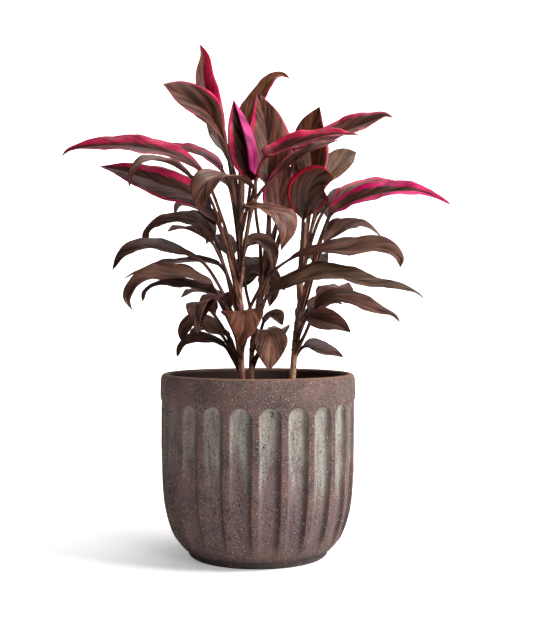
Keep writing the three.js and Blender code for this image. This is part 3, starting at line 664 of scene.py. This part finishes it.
# Leaves: 62 lance-shaped blades on channelled stalks, each a piece of its own, folded along the midrib and
# wavy at the margins. The skin is waxy, bronze-brown, with pink to crimson margins on the young leaves.
# Each row is: look, height on the cane where the stalk comes out, points of the stalk, points of the
# blade, width, and what differs: fold of the left and right side in degrees, curl of their outer halves,
# crease (how far out the curl sets in, and how softly), face (where the upper side looks), and where
# along the blade it is widest.
LEAVES = {
    "left": [
        ("rolled", 560, [(-20, 600, -10), (-15, 630, -20)], [(-13, 652, -26), (-12, 686, -36),
         (-17, 718, -44), (-28, 755, -46), (-43, 794, -34)], 84, {"fold": (22, 26), "curl": (28, 150),
         "crease": (0.42, 0.1), "face": (0.1, -1, 0.1), "widest": 0.38}),
        ("olive", 560, [(-26, 620, 8), (-26, 670, 16)], [(-28, 712, 24), (-16, 772, 42), (8, 812, 55),
         (26, 834, 62), (42, 838, 66), (57, 830, 68)], 44, {"face": (-0.4, -0.8, 0.2)}),
        ("spear", 540, [(-40, 636, 2), (-47, 684, 6)], [(-58, 722, 10), (-72, 762, 16), (-84, 796, 18),
         (-93, 834, 16), (-93, 868, 10), (-102, 892, 4)], 45, {"fold": (26, 30), "face": (0.3, -0.95, 0),
         "widest": 0.5}),
        ("sheen", 550, [(-46, 654, -6)], [(-56, 710, -8), (-70, 748, -6), (-90, 780, -4), (-115, 798, -6),
         (-141, 810, -12), (-167, 821, -22)], 64, {"fold": (22, 30), "face": (0.2, -0.9, 0.4),
         "widest": 0.6}),
        ("brown", 560, [(-34, 610, 14), (-42, 668, 24)], [(-58, 700, 50), (-72, 738, 80), (-84, 776, 106),
         (-91, 800, 128)], 34, {"face": (0, -0.6, 0.8)}),
        ("flame", 476, [(-20, 556, -22), (-6, 640, -38)], [(12, 692, -50), (48, 716, -62), (90, 729, -72),
         (130, 736, -80), (180, 732, -86)], 56, {"face": (-0.3, -0.6, 0.75), "widest": 0.27}),
        ("crimson", 500, [(-38, 570, -4), (-49, 637, -4)], [(-62, 668, 8), (-91, 698, 24), (-133, 712, 44),
         (-175, 718, 62), (-220, 719, 78)], 46, {"face": (0, -0.35, 0.95)}),
        ("rosy", 466, [(-22, 540, -16), (-4, 618, -28)], [(26, 656, -36), (56, 688, -46), (91, 709, -52),
         (144, 724, -48)], 44, {"face": (-0.3, -0.5, 0.8)}),
        ("brown", 520, [(-36, 568, 16), (-42, 611, 30)], [(-49, 640, 60), (-63, 660, 110), (-80, 662, 160),
         (-91, 635, 205)], 50, {}),
        ("folded", 500, [(-30, 556, -14), (-18, 604, -30)], [(-6, 634, -52), (-26, 654, -84),
         (-56, 666, -116), (-84, 660, -140), (-98, 636, -154), (-104, 598, -160)], 68, {"fold": (12, 12),
         "face": (-0.1, -0.4, 0.9), "widest": 0.54}),
        ("folded", 500, [(-31, 572, -20)], [(-24, 606, -42), (-4, 610, -74), (24, 603, -108),
         (46, 588, -134), (50, 562, -146), (40, 528, -152)], 62, {"fold": (12, 12),
         "face": (0.1, -0.35, 0.9)}),
        ("banner", 462, [(-46, 530, -14), (-66, 594, -28)], [(-92, 657, -46), (-118, 686, -60),
         (-150, 703, -70), (-190, 713, -78), (-238, 718, -84), (-294, 715, -88), (-331, 706, -88),
         (-346, 692, -86)], 46, {"face": (0, -0.75, 0.65), "widest": 0.46}),
        ("edged", 450, [(-40, 500, 6), (-52, 548, 16)], [(-66, 572, 34), (-91, 600, 72), (-119, 612, 112),
         (-140, 609, 146), (-146, 592, 166)], 46, {}),
        ("banded", 440, [(-46, 496, -8), (-62, 555, -18)], [(-84, 604, -40), (-104, 623, -54),
         (-130, 636, -62), (-162, 646, -66), (-200, 659, -68), (-240, 671, -66), (-278, 677, -60)], 60,
         {"fold": (12, 14), "face": (-0.05, -0.9, 0.45)}),
        ("hanging", 430, [(-42, 480, -20), (-60, 552, -44)], [(-84, 621, -72), (-112, 660, -100),
         (-154, 688, -126), (-196, 691, -146), (-219, 670, -158), (-226, 638, -162)], 40,
         {"face": (0, -0.4, 0.9)}),
        ("edged", 404, [(-44, 442, 4), (-58, 498, 10)], [(-77, 551, 20), (-96, 579, 32), (-131, 588, 44),
         (-172, 581, 54), (-194, 562, 60), (-199, 534, 62)], 58, {"face": (0, -0.5, 0.85)}),
        ("dark", 398, [(-40, 434, -6), (-54, 488, -14)], [(-80, 543, -26), (-102, 565, -54),
         (-130, 574, -90), (-160, 562, -122)], 50, {"face": (-0.1, -0.3, 0.9)}),
        ("dark", 400, [(-34, 440, 22), (-38, 486, 40)], [(-46, 515, 62), (-60, 548, 112), (-77, 560, 164),
         (-91, 540, 210)], 50, {}),
        ("dark", 380, [(-44, 416, -10), (-66, 464, -24)], [(-94, 506, -40), (-122, 525, -52),
         (-163, 537, -64), (-206, 541, -72), (-238, 523, -76), (-256, 493, -76)], 50,
         {"face": (0, -0.5, 0.85), "widest": 0.5}),
        ("brown", 384, [(-36, 420, 8), (-46, 466, 26)], [(-66, 503, 44), (-98, 515, 66), (-150, 512, 82),
         (-198, 500, 92), (-239, 478, 96)], 38, {"face": (0, -0.3, 0.95)}),
        ("brown", 372, [(-20, 412, -18), (0, 456, -36)], [(26, 492, -48), (58, 516, -62), (92, 530, -70),
         (126, 535, -76), (164, 537, -80), (203, 541, -83), (232, 534, -84), (248, 517, -84),
         (249, 498, -82)], 56, {"face": (0, -0.6, 0.75), "widest": 0.64}),
        ("dark", 360, [(-50, 404, -6)], [(-74, 449, -2), (-102, 467, 8), (-142, 474, 18), (-178, 472, 26),
         (-198, 458, 30), (-202, 438, 30)], 42, {"face": (0, -0.45, 0.9)}),
        ("dusky", 350, [(-16, 388, -34), (0, 424, -56)], [(20, 452, -72), (47, 473, -86), (76, 485, -92),
         (110, 494, -96), (146, 491, -100), (182, 481, -102), (217, 472, -100), (253, 466, -97),
         (278, 456, -94), (295, 441, -92)], 56, {"face": (0, -0.55, 0.8), "widest": 0.34}),
        ("brown", 345, [(-40, 384, -24), (-54, 426, -46)], [(-80, 466, -66), (-106, 486, -90),
         (-136, 493, -108), (-164, 493, -122), (-190, 489, -130), (-212, 478, -136), (-225, 462, -138),
         (-229, 444, -138), (-219, 423, -136)], 56, {"face": (0, -0.55, 0.8), "widest": 0.34}),
        ("dark", 340, [(-44, 400, 16)], [(-58, 440, 34), (-84, 460, 66), (-112, 462, 108), (-136, 446, 144)],
         44, {}),
        ("dark", 336, [(-40, 384, -22)], [(-50, 425, -38), (-66, 455, -62), (-86, 443, -90),
         (-103, 395, -106)], 44, {"face": (-0.2, -0.35, 0.9)}),
        ("copper", 338, [(-34, 372, -24)], [(-34, 402, -42), (-32, 426, -74), (-24, 418, -106),
         (-26, 388, -126), (-35, 358, -130)], 70, {"fold": (8, 8), "face": (0, -0.4, 0.9)}),
        ("brown", 326, [(-42, 352, -12), (-58, 388, -24)], [(-76, 416, -46), (-94, 440, -88),
         (-107, 438, -128), (-109, 414, -152), (-105, 382, -160)], 44, {"fold": (8, 8),
         "face": (-0.2, -0.35, 0.9)}),
        ("dark", 322, [(-44, 348, -4)], [(-64, 382, -10), (-93, 404, -20), (-117, 408, -30),
         (-130, 390, -36), (-129, 359, -38)], 38, {"face": (-0.3, -0.7, 0.6)}),
        ("dark", 318, [(-38, 344, 6)], [(-50, 378, 20), (-79, 396, 52), (-105, 392, 88), (-126, 366, 114)],
         38, {}),
        ("brown", 312, [(-42, 336, -4)], [(-58, 362, -8), (-82, 376, -14), (-112, 376, -22),
         (-134, 364, -26), (-142, 342, -28)], 38, {"face": (0, -0.5, 0.9)}),
        ("dark", 452, [(-28, 500, 2)], [(-20, 536, 4), (-6, 550, 5), (10, 547, 5), (22, 533, 4),
         (27, 513, 4), (27, 492, 4)], 34, {"face": (0.2, -0.8, 0.6)}),
        ("dark", 366, [(-30, 420, 20)], [(-32, 462, 40), (-22, 496, 62), (-8, 510, 92), (4, 500, 118)], 52,
         {"face": (0.3, -0.7, 0.6)}),
    ],
    "middle": [
        ("pleated", 470, [(14, 530, 32), (18, 592, 26)], [(18, 649, 20), (19, 700, 18), (14, 755, 16),
         (-2, 808, 6)], 88, {"fold": (12, 16), "face": (0.2, -1, 0.1), "widest": 0.36}),
        ("brown", 480, [(20, 545, 44), (20, 600, 56)], [(18, 640, 72), (16, 690, 98), (10, 730, 122),
         (4, 756, 140)], 54, {"face": (0, -0.6, 0.8)}),
        ("rosy", 466, [(4, 536, 40), (-4, 600, 44)], [(-4, 650, 48), (-4, 691, 50), (0, 719, 50),
         (0, 750, 46)], 36, {"face": (0, -1, 0.2)}),
        ("pink_edge", 450, [(22, 520, 34), (42, 610, 18)], [(77, 710, -4), (117, 731, -12), (161, 749, -18),
         (198, 761, -22), (223, 767, -24), (238, 761, -24)], 56, {"face": (0, -0.7, 0.7), "widest": 0.5}),
        ("rosy", 440, [(26, 510, 26)], [(44, 579, 16), (38, 618, 8), (42, 653, 4), (52, 692, 4)], 62,
         {"fold": (10, 10), "face": (0.2, -1, 0.1)}),
        ("rosy", 436, [(24, 500, 40), (38, 556, 38)], [(60, 592, 40), (66, 635, 42), (70, 670, 42),
         (72, 702, 38)], 40, {"face": (0, -1, 0.2)}),
        ("brown", 430, [(14, 486, 50), (24, 548, 64)], [(35, 583, 88), (49, 612, 130), (56, 620, 180),
         (60, 598, 225)], 52, {}),
        ("dark", 392, [(12, 440, 50)], [(18, 466, 66), (26, 484, 100), (38, 482, 150), (46, 458, 195)], 46,
         {"face": (0, -0.3, 1)}),
        ("dark", 380, [(-14, 428, 36)], [(-22, 470, 38), (-16, 496, 44), (2, 500, 52), (18, 482, 58),
         (24, 454, 60), (20, 430, 58)], 60, {"face": (0.1, -0.7, 0.7)}),
        ("brown", 350, [(2, 376, 20)], [(10, 404, 16), (20, 420, 4), (33, 416, -8), (43, 398, -18)], 40,
         {"face": (0, -0.5, 0.8)}),
        ("tan", 330, [(0, 350, 2)], [(8, 378, -14), (16, 392, -42), (22, 376, -84), (21, 346, -104),
         (19, 318, -110)], 58, {"fold": (6, 6), "face": (0, -0.4, 0.9), "widest": 0.58}),
        ("brown", 322, [(4, 350, 20)], [(20, 376, 34), (34, 394, 66), (42, 396, 104), (46, 380, 142)], 40,
         {}),
        ("brown", 314, [(-2, 342, 44)], [(4, 372, 80), (8, 392, 120), (8, 392, 160), (4, 370, 196)], 44, {}),
    ],
    "right": [
        ("upright", 496, [(86, 560, 8)], [(93, 618, 14), (94, 679, 22), (93, 738, 26), (108, 782, 14)], 67,
         {"fold": (14, 18), "face": (0, -1, 0.1), "widest": 0.55}),
        ("brown", 500, [(84, 560, 30)], [(92, 620, 62), (97, 672, 90), (100, 722, 114), (104, 752, 132)], 44,
         {"face": (0, -0.6, 0.8)}),
        ("ochre", 474, [(90, 550, 20)], [(106, 620, 32), (118, 654, 46), (136, 681, 60), (156, 697, 76),
         (173, 702, 88)], 60, {"face": (-0.3, -0.85, 0.35), "widest": 0.62}),
        ("heart", 480, [(78, 536, -10)], [(79, 582, -24), (83, 612, -36), (92, 638, -46), (108, 654, -52),
         (134, 657, -56)], 76, {"fold": (10, 10), "face": (0, -1, 0.15), "widest": 0.5}),
        ("dark", 470, [(88, 526, 14), (105, 579, 24)], [(119, 604, 42), (136, 626, 76), (154, 639, 112),
         (168, 632, 146)], 42, {}),
        ("brown", 460, [(82, 510, 24), (92, 560, 42)], [(102, 590, 72), (112, 612, 118), (118, 612, 168),
         (122, 585, 212)], 52, {}),
        ("pink_edge", 430, [(88, 480, 6), (107, 543, 6)], [(128, 593, 6), (154, 630, 14), (189, 645, 22),
         (234, 646, 28), (276, 641, 32), (313, 624, 34)], 46, {"face": (0, -0.55, 0.85)}),
        ("brown", 420, [(76, 462, 24), (80, 494, 40)], [(86, 516, 64), (98, 524, 114), (108, 512, 156),
         (116, 486, 192)], 50, {}),
        ("pink_tip", 414, [(84, 456, -6), (106, 530, -18)], [(126, 590, -32), (152, 614, -42),
         (182, 628, -54), (214, 636, -62), (251, 639, -70), (283, 636, -74), (313, 624, -76),
         (341, 608, -76)], 50, {"face": (0, -0.7, 0.7), "widest": 0.36}),
        ("brown", 400, [(86, 446, 8), (102, 504, 14)], [(117, 542, 24), (138, 569, 46), (164, 579, 74),
         (195, 573, 102), (221, 548, 124)], 52, {"face": (-0.1, -0.6, 0.8)}),
        ("brown", 380, [(86, 424, 34)], [(104, 450, 66), (128, 468, 110), (150, 468, 156), (170, 446, 196)],
         48, {}),
        ("brown", 364, [(74, 392, -14)], [(86, 410, -32), (102, 413, -46), (122, 408, -58), (145, 399, -66),
         (163, 386, -70)], 48, {"face": (0, -0.8, 0.5)}),
        ("dark", 358, [(78, 396, 8)], [(89, 422, 18), (107, 439, 36), (130, 444, 58), (150, 435, 80)], 42,
         {"face": (0, -0.6, 0.7)}),
        ("dark", 344, [(66, 374, 24)], [(74, 400, 44), (84, 424, 86), (90, 428, 134), (94, 406, 178)], 44,
         {}),
        ("brown", 346, [(84, 386, -8)], [(101, 426, -18), (114, 445, -26), (136, 452, -32), (160, 448, -36),
         (186, 438, -40), (212, 427, -43), (238, 416, -44), (250, 402, -44)], 46, {"face": (0, -0.6, 0.8)}),
        ("dark", 322, [(68, 346, 8)], [(80, 361, 14), (96, 364, 24), (113, 360, 34), (132, 353, 44),
         (150, 343, 54)], 34, {"face": (0, -0.8, 0.55)}),
    ],
}
# Looks: the colours of the blade's heart, of its stalk end and of its margins, and the shares of the left and
# right side that the margin colour takes. What differs: grow (how much that widens to the tip), streak (how
# strong the pale streaks are, which are partly the leaf's own and partly painted sheen on its pleats) and
# under (the colour of the lower side).
LOOKS = {
    "rolled": ("#351012", "#6b1f30", "#b5234c", 0.3, 0.2, {"under": "#e2509f"}),
    "spear": ("#5f3424", "#3f1d15", "#d8305a", 0.1, 0.96, {"grow": 0.3}),
    "sheen": ("#4a2114", "#3d1b14", "#c22456", 0.1, 0.12, {"streak": 1.0}),
    "flame": ("#60262a", "#b03350", "#d02a52", 0.42, 0.12, {"grow": 1.0}),
    "crimson": ("#52201f", "#5a2527", "#ab2350", 0.4, 0.5, {"grow": 0.5}),
    "rosy": ("#6f423a", "#6a322c", "#c4496a", 0.16, 0.1, {}),
    "folded": ("#6d4a3f", "#5c3629", "#a5484a", 0.07, 0.05, {"streak": 0.9}),
    "banner": ("#562622", "#552420", "#bd2654", 0.12, 0.52, {"grow": 0.7}),
    "edged": ("#59362a", "#4c2a20", "#983844", 0.08, 0.07, {}),
    "banded": ("#422018", "#42201a", "#c02a54", 0.12, 0.44, {}),
    "hanging": ("#604238", "#5b3126", "#a84a58", 0.14, 0.06, {}),
    "olive": ("#7a4526", "#5e3220", "#c43f5c", 0.06, 0.18, {}),
    "ochre": ("#5e3f22", "#4c2f18", "#83452c", 0.05, 0.05, {"streak": 0.9}),
    "dusky": ("#5a4536", "#4d3529", "#7a4a40", 0.05, 0.05, {}),
    "pleated": ("#774737", "#5a3025", "#cc3a60", 0.34, 0.08, {"streak": 1.0}),
    "pink_edge": ("#65342a", "#5c2a24", "#cc3560", 0.24, 0.12, {"grow": 0.5}),
    "pink_tip": ("#58312a", "#532822", "#e0407c", 0.2, 0.24, {"grow": 3.6}),
    "upright": ("#6a371f", "#5a2a1f", "#dc7486", 0.08, 0.14, {}),
    "heart": ("#3a150d", "#3d1a13", "#b52338", 0.17, 0.12, {}),
    "copper": ("#764636", "#5d3427", "#87423c", 0.05, 0.05, {"streak": 0.9}),
    "tan": ("#805c50", "#74493b", "#93544a", 0.05, 0.05, {"streak": 0.9}),
    "brown": ("#57382e", "#4d2a21", "#823d3b", 0.05, 0.05, {}),
    # The dark look is partly the leaves' own colour and partly painted shade, for leaves that lie in shade
    # inside the plant.
    "dark": ("#43271e", "#3d2019", "#6c322c", 0.04, 0.04, {}),
}
# Lengths in mm, angles in degrees, and shares of the blade, the stalk or the width.
STALKS = ("#512a22", "#341a14", "#6e4336", "#43251c")
STALK_EDGE = "#a06a55"
UNDERSIDE = "#54393a"
DRY = "#7d5a3c"
GROW, STREAK_SHEEN = 0.25, 0.55
INNER_FOLD, OUTER_FOLD, SINK = 1.3, 0.5, 0.8
STALK_HALF, STALK_THICK, STALK_CHANNEL = 3.2, 3.4, 38
BLADE_THICK, RIB_THICK, RIB_HALF = 0.75, 1.7, 1.5
WAVE, WAVE_LENGTH = 2.2, 70
TIP_FALL = 1.12
FOLD_STEPS = 24
FACE, FOLD, WIDEST, CREASE = (0, 0, 1), (22, 22), 0.4, (0.5, 0.5)
CLASP, CLASP_END = 1.1, 0.45
TIP_START, OPEN_END, THIN_END = 0.06, 0.16, 0.2
MARGIN_CROWDING = 1.2
# Fine ripples: their rise, their pace against the wave's, and their shifts by leaf and by side.
RIPPLES = ((0.6, 2.3, 1, 3), (0.3, 4.1, 2, 5))
VEIN_SLANT = -0.27
VEIN_SIZE, BAND_SIZE = (0.0025, 0.07), (0.009, 0.12)
AROUND, ROWS, STALK_ROWS = 44, 84, 0.25


def ease(value, low, high):
    share = np.clip((value - low) / (high - low), 0, 1)
    return share * share * (3 - 2 * share)


def blend(a, b, share):
    """Colours from hex a to hex b, or from rows of colours, by the share of b at each point."""
    a, b = (np.array(linear(c)) if isinstance(c, str) else c for c in (a, b))
    return a + (b - a) * np.asarray(share)[:, None]


def leaf_places(path, start, width, number, round_share, along_share, differs):
    """Places of a leaf's points, and where each lies: its share out from the midrib, 0 left or 1 right, its
    shares along the blade and along the stalk, the leaf's half width there, whether it is on the lower side,
    and the distance along the midrib."""
    fold = np.array(differs.get("fold", FOLD))
    inner = fold * INNER_FOLD
    outer = np.array(differs.get("curl", fold * OUTER_FOLD))
    widest = differs.get("widest", WIDEST)
    face = np.array(differs.get("face", FACE), float)
    lower = round_share > 0.5
    signed = np.where(lower, 3 - 4 * round_share, 4 * round_share - 1)
    hand = (signed > 0).astype(int)
    out_share = np.abs(signed) ** MARGIN_CROWDING
    crease, softness = differs.get("crease", CREASE)
    on_stalk = np.clip(along_share / STALK_ROWS, 0, 1)
    on_blade = np.clip((along_share - STALK_ROWS) / (1 - STALK_ROWS), 0, 1)
    share = np.where(along_share < STALK_ROWS, start * on_stalk, start + (1 - start) * on_blade)
    tangent = path.direction(share)
    up = face - (tangent @ face)[:, None] * tangent
    up /= np.linalg.norm(up, axis=1, keepdims=True)
    side = np.cross(tangent, up)

    rise = TIP_FALL * widest / (1 - widest)
    shape = on_blade ** rise * (1 - on_blade) ** TIP_FALL / (widest ** rise * (1 - widest) ** TIP_FALL)
    clasp = 1 + CLASP * (1 - ease(on_stalk, 0, CLASP_END))
    tip = np.where(on_blade > widest, ease(1 - on_blade, 0, TIP_START), 1)
    half = ((STALK_HALF * clasp * tip) ** 4 + (width / 2 * shape) ** 4) ** 0.25
    half *= ease(on_stalk, -0.02, 0.05)
    opened = ease(on_blade, 0.0, OPEN_END)
    a = np.radians(STALK_CHANNEL + (inner[hand] - STALK_CHANNEL) * opened)
    b = np.radians(STALK_CHANNEL + (outer[hand] - STALK_CHANNEL) * opened)
    out, height = np.zeros_like(half), np.zeros_like(half)
    for step in np.arange(0.5, FOLD_STEPS) / FOLD_STEPS:
        angle = a + (b - a) * ease(step * out_share, crease - softness, crease + softness)
        out += half * out_share / FOLD_STEPS * np.cos(angle)
        height += half * out_share / FOLD_STEPS * np.sin(angle)
    angle = a + (b - a) * ease(out_share, crease - softness, crease + softness)

    length = path.length * (1 - start)
    phase = 2 * math.pi * on_blade * length / WAVE_LENGTH + number * 1.7
    ripple = np.where(hand == 0, np.sin(phase), np.sin(phase + 2.1)) * WAVE
    ripple += sum(rise * np.sin(phase * pace + shift * number + turn * hand)
                  for rise, pace, shift, turn in RIPPLES)
    height += ripple * np.sin(math.pi * on_blade) * ease(out_share, 0.3, 1.1) * 0.9
    thick = STALK_THICK + (BLADE_THICK - STALK_THICK) * ease(on_blade, 0, THIN_END)
    thick = thick * np.sqrt(np.clip(1 - out_share ** 4, 0, 1)) * np.minimum(1, half / 3)
    ridge = np.exp(-(out_share * half / RIB_HALF) ** 2) * np.minimum(1, half / 5)
    shell = np.where(lower, -0.5 * thick - ridge * RIB_THICK * (1.1 - on_blade), 0.5 * thick - 0.35 * ridge)
    out -= shell * np.sin(angle)
    height += shell * np.cos(angle)
    mean_fold = math.radians(fold.mean())
    sunk = SINK * half * math.sin(mean_fold) * ease(on_blade, 0, 0.1)
    centre = path.place(share) - up * sunk[:, None]
    places = centre + side * (out * np.sign(signed))[:, None] + up * height[:, None]
    return places, out_share, hand, on_blade, on_stalk, half, lower, share * path.length


waxy, tree, surface, place = new_material("waxy_ti_leaf")
tone, rim = (node(tree, "Attribute", attribute_name=name).outputs["Color"] for name in ("tone", "rim"))
flush, across, along, seed, under, streak_and_sheen = (
    node(tree, "Attribute", attribute_name=name).outputs["Fac"]
    for name in ("flush", "across", "along", "seed", "under", "streak_and_sheen"))
# Side veins leave the midrib at 15 degrees, drawn about 2.5 mm apart so that they show.
slant = calculated(tree, "MULTIPLY_ADD", along, VEIN_SLANT, across)
vein_place = node(tree, "CombineXYZ", {"X": slant, "Y": along, "Z": seed}).outputs["Vector"]
fine_place = scaled(tree, vein_place, (1 / VEIN_SIZE[0], 1 / VEIN_SIZE[1], 7))
broad_place = scaled(tree, vein_place, (1 / BAND_SIZE[0], 1 / BAND_SIZE[1], 3))
fine = noisy(tree, fine_place, 1, 3, 0.6)
broad = noisy(tree, broad_place, 1, 3, 0.5)
blotch = noisy(tree, place, 0.03, 4, 0.6)
ragged = remapped(tree, fine, 0.3, 0.7, -0.22, 0.22)
ragged_broad = remapped(tree, broad, 0.3, 0.7, -0.2, 0.2)
spread = calculated(tree, "ADD", flush, ragged)
spread = calculated(tree, "ADD", spread, ragged_broad)
flushed = remapped(tree, spread, 0.38, 0.62, smooth=True)
dark_tone = mixed(tree, 1.0, tone, "#5c4a45", blend_type="MULTIPLY")
# Pale streaks along the broad bands, partly the leaf's own colour and partly painted sheen on the crests of
# its pleats.
streak_sheen_tone = mixed(tree, 0.17, tone, "#d09a80")
veined = remapped(tree, fine, 0.4, 0.66)
pale = remapped(tree, broad, 0.42, 0.62)
toned = mixed(tree, veined, dark_tone, tone)
strength = calculated(tree, "MULTIPLY", pale, streak_and_sheen)
toned = mixed(tree, strength, toned, streak_sheen_tone)
deep_rim = mixed(tree, 1.0, rim, "#c4a8ac", blend_type="MULTIPLY")
rimmed = mixed(tree, veined, deep_rim, rim)
coloured = mixed(tree, flushed, toned, rimmed)
shadow = remapped(tree, blotch, 0.35, 0.62, 0.5, 0.0)
clouded = mixed(tree, shadow, coloured, "#2b1612")
rich = node(tree, "HueSaturation", {"Saturation": 1.08, "Value": 0.98, "Color": clouded}).outputs["Color"]
relief = calculated(tree, "ADD", fine, broad)
dull = remapped(tree, under, 0, 1, 0.45, 0.65)
coat(tree, surface, rich, roughness=dull, relief=relief, strength=0.85, depth=0.0014, shine=0.22)

for cane_name, rows in LEAVES.items():
    line = LINES[cane_name]
    for number, (look_name, root, stalk, blade, width, differs) in enumerate(rows):
        heart, foot, margin, left_share, right_share, look = LOOKS[look_name]
        heights = line.places[:, 2]
        axis = np.array([np.interp(root, heights, line.places[:, k]) for k in range(3)])
        path = Line([axis, *(seen(p) for p in stalk), *(seen(p) for p in blade)])
        start = path.share((1 + len(stalk)) / (len(stalk) + len(blade)))
        leaf, round_share, along_share = wrapped(f"leaf_{cane_name}_{number + 1:02d}", AROUND, ROWS)
        places, out_share, hand, on_blade, on_stalk, half, lower, length = leaf_places(
            path, start, width, number, round_share, along_share, differs)
        places[along_share > 1 - 1e-6] = path.place(1.0)
        places[along_share < 1e-6] = path.place(0.0)

        edged = ease(out_share, 0.55, 0.9) * (number % 3 > 0)
        tone = blend(blend(STALKS[number % 4], STALK_EDGE, edged), foot, ease(on_stalk, 0.7, 1))
        tone = blend(tone, heart, ease(on_blade, 0, 0.3))
        tone = blend(tone, look.get("under", UNDERSIDE), lower * (1.0 if "under" in look else 0.3))
        tone = blend(tone, DRY, ease(on_blade, 0.965, 0.995) * 0.8)
        taken = np.where(hand == 0, left_share, right_share) * (1 + look.get("grow", GROW) * on_blade)
        flush = ease(out_share, 1 - 1.5 * taken, 1 - 0.45 * taken) * ease(on_blade, 0.0, 0.1)
        if "under" in look:
            flush = np.where(lower, 0, flush)
        paint(leaf, "tone", tone)
        paint(leaf, "rim", blend(margin, DRY, ease(on_blade, 0.985, 1) * 0.7))
        paint(leaf, "flush", flush)
        paint(leaf, "across", out_share * half * MM)
        paint(leaf, "along", length * MM)
        paint(leaf, "seed", np.full(len(places), number + 40.0 * list(LEAVES).index(cane_name)))
        paint(leaf, "under", lower.astype(float))
        paint(leaf, "streak_and_sheen", np.full(len(places), look.get("streak", STREAK_SHEEN)))
        close_up(leaf, places)
        leaf.data.materials.append(waxy)
        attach(leaf, "root")
        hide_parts(f"leafy_cane_{cane_name}")
